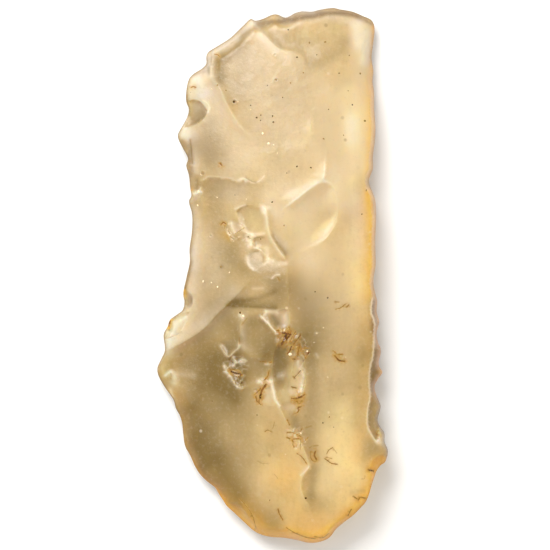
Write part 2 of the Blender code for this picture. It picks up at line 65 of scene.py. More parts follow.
# %% Outline in plan, anticlockwise from the top left
THIN_SIDE = [
    (-13, 33.2), (-13.8, 32.4), (-14.3, 30.5), (-14.35, 28.5), (-13.9, 27.2), (-14.2, 25.9), (-15, 24.4),
    (-15.7, 23.1), (-15.7, 22.4), (-14.95, 20.8), (-14.05, 18.9), (-14.35, 17.9), (-13.9, 16.2),
    (-13.7, 14.2), (-13.5, 12.7), (-13.85, 12.1), (-13.85, 11.5), (-13.4, 9.9), (-13.4, 6.8),
    (-13.8, 3.9), (-13.75, 1.8), (-14.3, -0.8), (-14.85, -3.6), (-14.65, -4.9), (-14.95, -6.3),
    (-16, -7.1), (-17.05, -7.9), (-17.5, -9.1), (-18.1, -10.3), (-17.9, -13), (-18.45, -14.3),
    (-19.15, -15.9), (-19.05, -17), (-18, -19), (-16.45, -21.3), (-16.1, -22.6), (-15.4, -23.9),
    (-15.05, -25.1), (-14.85, -27), (-14.55, -28.9), (-13.65, -30.6), (-12.9, -32.3), (-12, -33.7),
    (-10.9, -34.8), (-9.5, -35.9), (-8.9, -36.9), (-8, -38.3), (-7.6, -38.9), (-6.3, -40.1),
    (-4.6, -41.7), (-3, -43.1)]
BUTT_END = [
    (-1.8, -43.7), (-0.3, -44.05), (2, -44.2), (4.3, -44.6), (6.1, -45), (8, -44.8), (9.5, -44.1),
    (10.6, -42.7), (12, -41.5)]
THICK_SIDE = [
    (13.3, -40.5), (14.6, -39.2), (15.5, -38.2), (16.1, -36.8), (16.55, -35.3), (17, -34), (17.3, -33.1),
    (18.1, -32), (18.7, -31.6), (19.2, -30.3), (19.2, -29.5), (18.7, -28.2), (18.65, -26.7),
    (17.9, -25.6), (17.55, -24.5), (17.95, -22.9), (18.05, -22.2), (17.5, -20.9), (17.05, -19.6),
    (17.05, -18.8), (17.7, -17.6), (18.35, -16.6), (17.8, -15.7), (17.7, -15), (18.1, -12.9),
    (17.6, -11.7), (17.35, -10.3), (17.45, -9.6), (17.8, -8.3), (17.45, -7), (17.35, -6.2), (17.45, -4.7),
    (17.1, -3.3), (16.85, -1.8), (16.95, -0.3), (17.2, 1), (17.15, 5), (17.3, 9.8), (17.15, 12),
    (16.7, 13.4), (16.15, 14.8), (16.15, 15.6), (16.75, 17.3), (16.75, 19.2), (17.1, 22), (17.2, 24),
    (17, 27), (16.95, 30), (16.7, 31.9), (16.85, 33.5), (16.55, 35.7), (16.8, 38.1), (17.05, 40.7),
    (16.6, 42)]
TOP_END = [
    (15, 42.8), (13.3, 43.5), (11.1, 43.9), (10.3, 44.1), (8.05, 43.85), (6.6, 43.5), (4.9, 43.55),
    (3.9, 43.3), (2.2, 42.5), (0.9, 43), (0.1, 43), (-1.55, 42.3), (-2.95, 42), (-3.5, 42.3), (-5, 41),
    (-7, 39.1), (-9, 37.8), (-10.7, 36.7), (-11, 36), (-11, 34.8), (-11.7, 34)]
OUTLINE = THIN_SIDE + BUTT_END + THICK_SIDE + TOP_END
print("outline points:", len(OUTLINE))

# %% [markdown]
# ## The upper face
# A flint knapper reads a blade as one smooth body with scars taken out of it, and it is made the same
# way here. First a thin plate is bent through spot heights, as a surveyor draws a hill from levels.

# %% Spot heights of the upper face: x, y, z
SPOTS = [
    # top end
    (-8, 35, 4.8), (-2, 37, 5.6), (6, 40, 5.1), (13, 40, 4.2), (16.2, 38, 4), (14.5, 34, 5),
    (16.3, 33, 4.1), (5, 33, 6.6), (-3, 32, 6.4), (-9, 30, 5.2), (-12.5, 28, 3.6),
    # upper body
    (-5, 27, 6.6), (3, 26, 7.4), (9, 27, 7.3), (13.5, 27, 6.4), (15.8, 27, 5.6), (-12.5, 20, 4),
    (-8, 20, 5.8), (-2, 20, 7.4), (4, 19, 8.3), (10, 19, 8.1), (13.5, 19, 7.3), (15.8, 19, 6.4),
    # waist
    (-12, 12, 3.8), (-7, 12, 5.4), (-1, 12, 7.8), (6, 11, 8.6), (11, 11, 8.3), (14, 11, 7.8), (16, 10, 7),
    (-12, 3, 3.8), (-7, 3, 5.8), (-2, 4, 7.8), (2.5, 3, 9), (8, 3, 8.4), (12, 3, 8.2), (16, 3, 7.6),
    (-13, -6, 3.8), (-8, -2, 6), (-4, 0.5, 8), (2.5, -6, 9.8), (7, -7, 8.3), (12, -6, 7.9), (16, -6, 7.2),
    # lower body
    (-16, -14, 3.2), (-11, -13, 4.6), (-6, -12, 7.4), (-1, -12, 9.6), (3, -13, 9.8), (6.5, -14, 8.6),
    (11, -14, 7.7), (16, -14, 6.9), (-13, -22, 3.6), (-8, -22, 4.9), (-3, -22, 7.6), (1, -22, 9.6),
    (6, -22, 8.4), (11, -22, 7.4), (15.4, -22, 6.8), (-11, -31, 3.7), (-6, -31, 4.9), (0, -31, 7.4),
    (5.2, -31, 9.2), (9, -31, 8.1), (13, -31, 7.8), (17, -30, 7.1),
    # butt end
    (-6, -38, 4.4), (0, -38, 6.4), (6, -38, 8.4), (11, -38, 7.8), (0, -42, 5.4), (7, -42.5, 7.1)]
print("spot heights:", len(SPOTS))

# %% [markdown]
# Then come the flake scars. A crease is an arris with a scar on one side only: the face falls by drop
# within wall, and comes back over reach. It fades in and out over the lengths in fade.

# %% Creases
LEFT, RIGHT = 1, -1       # side of the path, looking along it
CREASES = {
    "flap": dict(
        path=[(-20.5, -14.6), (-17.9, -13.3), (-15.5, -12), (-12.5, -10.2), (-10.8, -8.8),
              (-9.2, -7), (-7.5, -5.4), (-6, -3.9), (-4.6, -2.4), (-3, -0.8), (-1.4, 0.8)],
        side=RIGHT, drop=1.3, wall=1, reach=7, fade=(0, 9.5)),
    "frosted_scar": dict(
        path=[(-10.5, 33.4), (-9.6, 31.8), (-8.8, 30.6), (-8, 28.9), (-7.2, 27.2), (-6.3, 25.6),
              (-5.2, 24.2), (-4, 23), (-2.6, 22), (-1, 21.2)],
        side=RIGHT, drop=0.7, wall=0.8, reach=5, fade=(2.5, 7)),
    "left_step": dict(
        path=[(-12.6, 15.2), (-11.4, 15.5), (-10.6, 16), (-9, 15.9), (-7.2, 15.7), (-5.5, 15.2),
              (-4.7, 15.6), (-3.3, 14.9), (-2.7, 14.9), (-1.8, 15.8), (-1.3, 16.6)],
        side=RIGHT, drop=0.5, wall=0.7, reach=4.5, fade=(1.6, 4)),
    "top_scar": dict(
        path=[(-3.4, 41.3), (-2.4, 40.4), (-1.2, 39.4), (0, 38.2), (1.2, 37.2), (2.6, 36.8),
              (4.2, 36.5), (4.9, 35.6), (5.5, 34.5), (5.9, 33.6)],
        side=LEFT, drop=0.5, wall=0.7, reach=3.6, fade=(2, 4)),
    "top_bevel": dict(
        path=[(-11.6, 34.4), (-10.4, 36), (-8.4, 37.3), (-6.6, 38.6), (-5, 39.8), (-3.6, 40.8),
              (-2, 41.6)],
        side=LEFT, drop=1, wall=0.7, reach=5, fade=(1, 1.5)),
    "fold": dict(
        path=[(-8.8, -5), (-7.4, -5.3), (-6, -5.7), (-4, -5.9), (-2.5, -6), (-1.2, -6.1),
              (0.6, -6.2)],
        side=LEFT, drop=0.3, wall=1, reach=2.4, fade=(2.5, 2.5)),
    "retouch": dict(
        path=[(16.9, -3.4), (16.6, -4.5), (16.4, -6.5), (17, -8.5), (16.9, -11), (16.7, -14),
              (16.2, -16), (16.1, -18), (16.2, -21), (15.9, -22.5), (15.8, -25),
              (16, -26), (16.8, -27.4), (17.3, -28), (17.9, -27.7), (18.6, -27.1)],
        side=LEFT, drop=0.9, wall=0.5, reach=3, fade=(1.5, 1.5)),
    "dark_step": dict(
        path=[(1.3, -11), (0.6, -12.4), (0.1, -14), (0, -16), (0.1, -17.6), (0.5, -19)],
        side=LEFT, drop=0.8, wall=0.5, reach=2.6, fade=(1.5, 4)),
    "butt_bevel": dict(
        path=[(-9.4, -37.6), (-8.2, -38.1), (-6.9, -38.3), (-5.6, -38.6), (-4.6, -39.8),
              (-3.6, -41.3), (-2.6, -42.8), (-2.2, -44.6)],
        side=RIGHT, drop=0.6, wall=0.4, reach=2.6, fade=(1, 1)),
}
print("creases:", ", ".join(CREASES))

# %% [markdown]
# A ridge stands up from the face and dies away over the widths left and right of its path.

# %% Ridges
RIDGES = {
    "dish_brow": dict(
        path=[(1.2, 10), (2.3, 11), (4, 12.2), (6.15, 13.9), (8.3, 15.2), (9.5, 14.9),
              (10.3, 14.3)],
        height=0.45, left=2.4, right=1, fade=(3, 2.5)),
    "lit_fin": dict(
        path=[(8.8, 20), (8.8, 18.8), (8.7, 16.6), (8.4, 15.1)],
        height=0.3, left=0.25, right=1.4, fade=(3.6, 0.6)),
    "small_fin": dict(
        path=[(6.4, 25.6), (6.45, 23.8), (6.5, 22.6), (6.9, 21.4)],
        height=0.12, left=0.3, right=1.3, fade=(2.1, 2.1)),
    "chip_rim": dict(
        path=[(-1.9, 11.2), (-1.2, 10.4), (-0.9, 9), (-0.7, 7.4), (-0.3, 6), (0.3, 4.9),
              (1, 3.8), (1.7, 2.8), (2.3, 1.8)],
        height=0.4, left=0.5, right=1.1, fade=(1.5, 1.2)),
    "right_fall": dict(
        path=[(1.9, 2.5), (2.4, 1.5), (2.5, 0), (2.6, -3), (2.65, -6), (2.7, -9.4)],
        height=0.3, left=1.5, right=1.1, fade=(1.5, 2)),
    "spine": dict(
        path=[(-0.2, -16.6), (0.1, -18.4), (0.5, -20.4), (1, -21.9), (1.7, -23.5), (2.6, -25.2),
              (3.8, -27), (4.8, -28.6), (5.5, -30.2), (6.1, -32.2), (5.4, -33.3), (4.8, -34.4),
              (4.7, -35.8), (5.2, -37.4), (6.1, -39.2), (7.1, -41.4)],
        height=0.5, left=0.8, right=1.3, fade=(2.5, 4)),
    "v_chip": dict(
        path=[(-9, -11.8), (-8.3, -12.8), (-7.3, -14), (-6.4, -13.2), (-5.6, -12.5),
              (-5.7, -11.4)],
        height=0.45, left=0.5, right=0.4, fade=(0.8, 0.8)),
    "star_chip": dict(
        path=[(-8.1, -15), (-7.8, -16.3), (-7.1, -17), (-6.5, -18.2), (-5.6, -19.2),
              (-4.6, -19.3)],
        height=0.5, left=0.7, right=0.5, fade=(0.8, 0.8)),
    "cluster_bar": dict(
        path=[(-6.6, -14.3), (-5.8, -14.9), (-4.9, -14.5), (-3.9, -14.9)],
        height=0.25, left=0.4, right=0.5, fade=(0.8, 0.8)),
    "spur": dict(
        path=[(-2.3, -6.9), (-1.4, -7.8), (-0.4, -8.8), (0.5, -9.8), (1.4, -10.1)],
        height=0.4, left=0.9, right=0.5, fade=(0.8, 1)),
    "cluster_left": dict(
        path=[(-5, -7.4), (-5.3, -8.8), (-5.3, -10.2), (-4.9, -11.4)],
        height=0.2, left=0.5, right=0.4, fade=(1, 1)),
    "top_ridge": dict(
        path=[(-10.4, 33.2), (-10.3, 35), (-9.9, 36.3), (-8.2, 37.3), (-6.6, 38.5), (-5, 39.7),
              (-3.6, 40.7), (-2.2, 41.4)],
        height=0.3, left=0.4, right=1.2, fade=(1.5, 2)),
    "butt_crack": dict(
        path=[(2.4, -42.6), (3.7, -43.4), (5.7, -44.2), (7.1, -44.3), (8.6, -44), (9.6, -42.8),
              (11.5, -41.3)],
        height=0.3, left=0.8, right=0.5, fade=(1, 1)),
    "tip_rib": dict(
        path=[(-17, -16.2), (-16.7, -17.2), (-16.5, -18.4)],
        height=0.25, left=0.4, right=0.5, fade=(0.6, 0.6)),
}
print("ridges:", ", ".join(RIDGES))

# %% [markdown]
# A chip is a scar with a ring all round. Lean makes it deeper towards one side, as a real flake scar
# is deeper where the blow landed.

# %% Chips
CHIPS = {
    "right_dish": dict(
        ring=[(1.6, 9.8), (4, 11.9), (6.2, 13.6), (8.4, 14.8), (10, 14.3), (10.6, 12.6),
              (10.85, 10.4), (10.6, 8.2), (9.2, 6), (8.1, 5), (6.4, 4.1), (4.4, 3.6),
              (2.4, 4.4), (1.2, 7)],
        depth=0.5, wall=1.3, lean=(1.4, 0)),
    "window": dict(
        ring=[(-15.6, 28.2), (-14.2, 28.7), (-13, 28.9), (-11.9, 28.5), (-11.1, 27.5),
              (-10.8, 26.7), (-11.1, 25.9), (-11.8, 25.2), (-12.7, 24.6), (-14.2, 24.1),
              (-15.6, 24.2)],
        depth=0.8, wall=0.15, lean=(0, 0)),
    "upper_chip": dict(
        ring=[(-6, 10.2), (-5.2, 11), (-4.2, 11.2), (-3, 11.1), (-1.9, 10.6), (-1.2, 9.6),
              (-1, 8.2), (-1.4, 6.9), (-2.6, 6.4), (-4.2, 6.5), (-5.3, 7.8), (-5.8, 9)],
        depth=0.28, wall=0.4, lean=(-0.2, 0.2)),
    "facet": dict(
        ring=[(-7.1, 8.9), (-5.8, 8.4), (-4.6, 7.6), (-6.1, 6.5)],
        depth=0.35, wall=0.3, lean=(0.4, -0.6)),
    "middle_chip": dict(
        ring=[(-3.3, 5.4), (-2.4, 6), (-1.2, 6.1), (-0.3, 5.4), (-0.4, 4.6), (-1.3, 4.1),
              (-2.8, 4.4)],
        depth=0.25, wall=0.25, lean=(0, 0)),
    "lower_chip": dict(
        ring=[(-4.2, 1.8), (-3.9, 3), (-3, 3.9), (-1.8, 4), (-1.1, 3.2), (-1.1, 2),
              (-1.7, 1.2), (-3.2, 0.5), (-3.9, 0.9)],
        depth=0.14, wall=0.4, lean=(0.3, 0.3)),
    "wedge_chip": dict(
        ring=[(-1.1, 2), (-0.5, 2.8), (1, 3.2), (2, 1.9), (1, 1.2), (-0.5, 1.3)],
        depth=0.12, wall=0.4, lean=(0.6, 0.5)),
    "patch": dict(
        ring=[(-1.1, -6.2), (0.6, -6.4), (2.5, -6.1), (2.65, -9), (1.8, -9.5), (0.9, -9.2),
              (-0.2, -8.2)],
        depth=0.6, wall=0.6, lean=(0.6, -0.3)),
    "upper_nook": dict(
        ring=[(-5, -7.4), (-3.4, -6.6), (-1.8, -7.4), (-0.4, -8.9), (0.4, -10.2), (0.1, -12),
              (-1, -13.4), (-3.4, -14), (-5, -12.6), (-5.3, -10)],
        depth=0.15, wall=0.8, lean=(0, 0)),
    "v_pool": dict(
        ring=[(-8.8, -11.8), (-7.4, -11), (-5.9, -11.3), (-5.8, -12.3), (-6.8, -13.3), (-7.4, -13.8)],
        depth=0.2, wall=0.4, lean=(0, 0)),
    "lower_nook": dict(
        ring=[(-7.2, -14.4), (-5.8, -13.4), (-3.2, -14.2), (-1, -14.6), (-0.7, -16.4),
              (-2.4, -18), (-4.4, -19), (-6, -18.4), (-7.4, -16.4)],
        depth=0.6, wall=0.8, lean=(0, 0)),
    "strip": dict(
        ring=[(3.8, -13.9), (5, -14), (5.4, -16.4), (5.3, -19), (4.8, -20.5), (3, -20.8),
              (2.7, -18.6), (3.3, -16.4)],
        depth=0.6, wall=0.7, lean=(1, -0.2)),
    "spine_chip": dict(
        ring=[(-1.6, -18.9), (-0.4, -18.7), (0.2, -20.2), (0.8, -21.8), (-0.4, -22.1), (-1.6, -21.5),
              (-2, -20.4)],
        depth=0.25, wall=0.6, lean=(0.6, 0.2)),
    "step_chip": dict(
        ring=[(1.4, -22.4), (2.3, -21.5), (3.8, -21.4), (4.4, -22.4), (3.8, -23.6), (2.7, -24.9),
              (1.9, -23.8)],
        depth=0.28, wall=0.5, lean=(0.4, 0.3)),
    "edge_notch": dict(
        ring=[(-15, -2.6), (-14, -3), (-13.2, -4), (-13.2, -5.2), (-14, -6.2),
              (-15.5, -6)],
        depth=0.8, wall=0.4, lean=(0, 0)),
    "edge_chip": dict(
        ring=[(-18.6, -8.6), (-17, -7.4), (-15.2, -6.8), (-13.8, -6.6), (-14.6, -8.6),
              (-15.2, -9.7), (-16.4, -10.7), (-18.4, -11.2)],
        depth=0.7, wall=0.4, lean=(0, 0)),
    "side_chip": dict(
        ring=[(-14.6, 14.4), (-12.6, 13.9), (-11.7, 13.2), (-12.2, 12.2), (-13.2, 11.6), (-14.6, 11.4)],
        depth=0.6, wall=0.4, lean=(0, 0)),
    "tip_chip": dict(
        ring=[(-19.4, -16.6), (-18, -16.8), (-16.9, -16.9), (-16.7, -18.2), (-17.6, -19),
              (-19, -18.6)],
        depth=0.5, wall=0.4, lean=(0, 0)),
    "tooth_chip": dict(
        ring=[(17, -15.4), (18.6, -15.8), (18.8, -17), (17.6, -17.8), (16.9, -17)],
        depth=0.5, wall=0.4, lean=(0, 0)),
    "corner_chip": dict(
        ring=[(16.8, -31.2), (18.2, -30.2), (19.6, -31), (18.6, -33), (17, -34.2), (16.2, -33)],
        depth=0.7, wall=0.6, lean=(0.4, -0.4)),
}
print("chips:", ", ".join(CHIPS))

# %% [markdown]
# ## Marks
# Iron oxide sits in the cracks and pits as rust-brown threads. Each one is a short stroke: its path, half
# its width and its strength. The mesh gets extra points along every thread, so that one of a tenth of a
# millimetre stays crisp without making the whole blade that fine.

# %% Rust threads: path, half width, strength
RUST = [
    # comb of threads above the bright strip
    ([(1.75, -10.05), (2.4, -10.15), (3.1, -10.35)], 0.24, 1.1),
    ([(2.3, -10.4), (2, -11.1), (1.55, -11.9)], 0.34, 1.1), ([(2.9, -10.4), (2.4, -11.2)], 0.26, 0.9),
    ([(3.9, -9.8), (3.4, -10.6), (3, -11.4)], 0.1, 0.7),
    ([(4.65, -10.4), (4.1, -11.2), (3.55, -11.9)], 0.13, 0.8),
    ([(3.2, -12.3), (2.9, -13), (2.6, -13.5)], 0.16, 1.1), ([(4.5, -12), (4.4, -12.5)], 0.32, 0.7),
    ([(4.4, -12.6), (4.3, -13), (4.2, -13.9)], 0.17, 0.85), ([(3.45, -14.4), (3.75, -14.4)], 0.19, 0.9),
    ([(5.3, -12.6), (6, -12.6)], 0.12, 0.65), ([(6.1, -13.3), (5.6, -14)], 0.1, 0.65),
    ([(5.1, -13.4), (5.5, -14.2)], 0.08, 0.55), ([(2.5, -9.3), (2.8, -9.1), (2.9, -9.5)], 0.11, 0.6),
    ([(0.7, -9.7), (1.1, -9.6)], 0.17, 0.7),
    # black thread and its neighbours
    ([(0.9, -0.9), (1.2, -1.3)], 0.14, 0.4), ([(-6.9, -16.5), (-6.2, -16.75), (-5.3, -16.95)], 0.17, 1.3),
    ([(-7, -16.2), (-6.5, -16.25), (-5.6, -16.2)], 0.2, 0.45),
    ([(-0.6, -16.5), (-0.75, -17.2), (-1.25, -17.8)], 0.14, 0.9),
    ([(-0.1, -14.9), (-0.5, -15)], 0.16, 0.65), ([(-2, -14.8), (-1.2, -14.85)], 0.12, 0.5),
    ([(-4.3, -7.7), (-5, -8.6)], 0.14, 0.3), ([(-5.5, -10.9), (-5.5, -11.7)], 0.1, 0.35),
    # long thread down the spine chip
    ([(-1.05, -18.6), (-1.4, -19.1), (-1.8, -19.8), (-2, -20.9)], 0.22, 1.1),
    ([(-1.95, -20.2), (-2.05, -20.8)], 0.18, 1.2),
    ([(-1.9, -19.3), (-2.5, -19.9), (-2.95, -20.3)], 0.13, 0.8),
    ([(-2.75, -20.6), (-2.5, -21.5)], 0.18, 0.8),
    ([(-2.2, -21.2), (-2.2, -21.7), (-1.9, -22)], 0.14, 0.75),
    # on and below the strip
    ([(4.7, -16.3), (4.2, -16.9), (3.65, -17.4)], 0.1, 0.7), ([(3.2, -19), (4, -19.2)], 0.12, 0.7),
    ([(3.2, -20.95), (4, -20.9), (4.7, -20.65), (5.3, -20.35)], 0.13, 1),
    ([(3.9, -20.9), (4.8, -20.65)], 0.26, 1.15), ([(4, -21.4), (4.5, -21.7), (4.9, -21.3)], 0.24, 0.5),
    ([(4.75, -22.3), (4.25, -22.5), (4.4, -22.95), (3.8, -23.45)], 0.17, 0.8),
    ([(2.5, -24.5), (2.85, -25.3)], 0.16, 0.75),
    # around the lower spine
    ([(2.5, -26.6), (3.25, -26.55), (4, -26.85), (4.75, -27.2)], 0.11, 0.6),
    ([(2.45, -27.4), (2.9, -27.6)], 0.17, 0.65), ([(3.6, -27.65), (4.4, -27.6)], 0.17, 0.7),
    ([(3.3, -27.8), (3.45, -28.2), (3.4, -28.6), (3.6, -29)], 0.14, 0.65),
    ([(4.65, -27.7), (4.7, -28.4), (4.65, -29.3)], 0.09, 0.45),
    ([(5.5, -27.8), (5.85, -27.5)], 0.16, 0.65), ([(5.6, -25.8), (6.4, -25.5)], 0.14, 0.3),
    ([(4.9, -26), (4.7, -26.4)], 0.12, 0.55),
    ([(4.1, -30.1), (4.7, -30.45), (5.25, -31.05), (5.65, -31.7)], 0.13, 0.6),
    ([(6.4, -29.7), (6.35, -30.6), (6.75, -31.3), (7.25, -31.35), (7.45, -31)], 0.1, 0.5),
    ([(7.1, -29.8), (7, -30.4), (7.3, -31)], 0.2, 0.95), ([(7.1, -28.8), (7.6, -28.75)], 0.16, 0.4),
    ([(6.2, -29.1), (6.5, -28.9)], 0.13, 0.3), ([(9.1, -30), (9.35, -29.55), (10, -29.1)], 0.11, 0.6),
    ([(10.2, -29.3), (10.7, -30)], 0.08, 0.35),
    ([(8.7, -30.95), (9.25, -31.3), (9.8, -31.7), (10.6, -31.85)], 0.12, 0.7),
    ([(9.1, -30.7), (9.8, -30.9)], 0.11, 0.5),
    ([(-1.15, -26.4), (-0.8, -26.2), (-0.3, -26.4)], 0.11, 0.5),
    ([(0.35, -24.9), (0.15, -25.7)], 0.12, 0.35),
    ([(-2.35, -31.4), (-1.85, -31.7), (-0.8, -31.8)], 0.14, 0.2),
    ([(0.4, -33.6), (0.9, -34.2)], 0.11, 0.2),
    # comma and twigs on the right
    ([(10.1, -13), (10.8, -13.6), (11.7, -13.6)], 0.18, 0.6),
    ([(10.5, -14), (11.1, -14.6), (11.9, -14.75)], 0.18, 1.05),
    ([(10.6, -6.1), (11.3, -5.9), (12.1, -5.3)], 0.1, 0.75), ([(12.4, -5.7), (12.7, -5.4)], 0.14, 0.75),
    ([(10.5, -4.9), (10.9, -4.9)], 0.11, 0.6),
    # dark corners of the bites in the thin side
    ([(-17.05, -8.05), (-17.25, -8.9)], 0.2, 1.2), ([(-14.75, -3.2), (-14.8, -3.9)], 0.17, 1.1),
    # butt end
    ([(0.95, -39.4), (1.15, -40.1), (1.75, -41.1)], 0.12, 0.85),
    ([(13.6, -37.3), (14.1, -37.6)], 0.16, 0.7),
    ([(14.3, -37.8), (14.6, -37.4), (15.4, -37.5)], 0.17, 0.65), ([(16, -32.8), (16.7, -33)], 0.17, 1.1),
    ([(13.1, -39.4), (12.6, -40.4)], 0.11, 0.75), ([(15, -34.3), (15.3, -34.3), (15.4, -33.9)], 0.1, 0.3),
    ([(2.4, -42.5), (3.7, -43.3), (5.5, -44), (7.1, -44.3)], 0.11, 0.6),
    ([(7, -43.9), (8.4, -44.1), (9.4, -43.4)], 0.11, 0.5),
    ([(-5.4, -37.7), (-4.6, -38.6), (-3.4, -40.3), (-2.7, -42.6)], 0.08, 0.65),
    # upper body
    ([(-9.6, 36.35), (-9.2, 36.3), (-8.8, 36)], 0.1, 0.8),
    ([(-13.5, 30.85), (-13.2, 31), (-12.9, 30.9)], 0.1, 0.8), ([(-8.7, 18.05), (-8.45, 17.8)], 0.14, 1.2),
    ([(-8.5, 8), (-8.1, 8.3), (-7.8, 8.1)], 0.13, 1.05), ([(-7.9, 8), (-8, 7.4)], 0.1, 0.35),
    ([(-6.1, 6.45), (-4.7, 7.45)], 0.08, 0.45),
]
THREAD_CUT = 0.05         # a thread at strength 1 lies this deep in the face
print("rust threads:", len(RUST))

# %% [markdown]
# Where many small blows met, the glass is crushed into splinters. A crushed place has a ring round it. Its
# seeds are strewn at random, each point of the face belongs to the nearest seed, and each seed has its own
# tilt. Pits are the round scars of burst bubbles, with a low rim.

# %% Crushed places, and pits: x, y, radius, depth
CRUSHED = {
    "left_cluster": [
        (-6.9, -13.9), (-5.6, -13.6), (-4.4, -14), (-3.6, -15.4), (-4.2, -17), (-4.4, -19.2),
        (-5.8, -19.9), (-7.1, -18.4), (-8.5, -16.4), (-8.4, -14.8)],
    "bright_strip": [
        (3.9, -13.6), (5.2, -13.6), (5.8, -16), (5.5, -19), (5.4, -21), (4.8, -23.4), (3.8, -22.8),
        (4, -21.2), (3.6, -19.6), (4.3, -17.6), (4.2, -15.6)],
    "comb": [
        (0.3, -9.3), (2.8, -9.2), (5, -10.2), (6.4, -12.6), (5.8, -14.2), (3.6, -14), (1.6, -12.2),
        (0.5, -11)],
    "spine_foot": [
        (-3.2, -19.2), (-1.8, -17.4), (-0.1, -17.4), (-0.2, -18.9), (-1.2, -20.2), (-1.8, -22.2),
        (-2.9, -21.8)],
    "low_spine": [
        (2.2, -25.8), (4.6, -25.4), (5.7, -26.8), (5.9, -28.2), (4.8, -29.4), (3, -29), (2.2, -27.6)],
    "facets": [
        (-7.8, 7.6), (-7, 7.4), (-6.2, 6.2), (-4.4, 6.4), (-3, 6.4), (-2.9, 4.4), (-4.4, 4.4),
        (-5.4, 5.4), (-7.2, 5.2)],
}
SPLINTER = 0.9            # how far apart the seeds are
SPLINTER_SLOPE = 0.22
CRUSHED_STEP = 0.17       # spacing of the mesh's points in a crushed place
PITS = [
    (-11.6, 16.5, 0.42, 0.1), (0.6, 32, 0.35, 0.06), (-6.3, 28.4, 0.4, 0.08), (13.3, 27.8, 0.3, 0.06),
    (0.4, 36.2, 0.3, 0.05), (2, 7.8, 0.25, 0.05), (-10.3, 6.1, 0.25, 0.05), (9.2, -4.1, 0.3, 0.06)]
print("crushed places:", len(CRUSHED), " pits:", len(PITS))
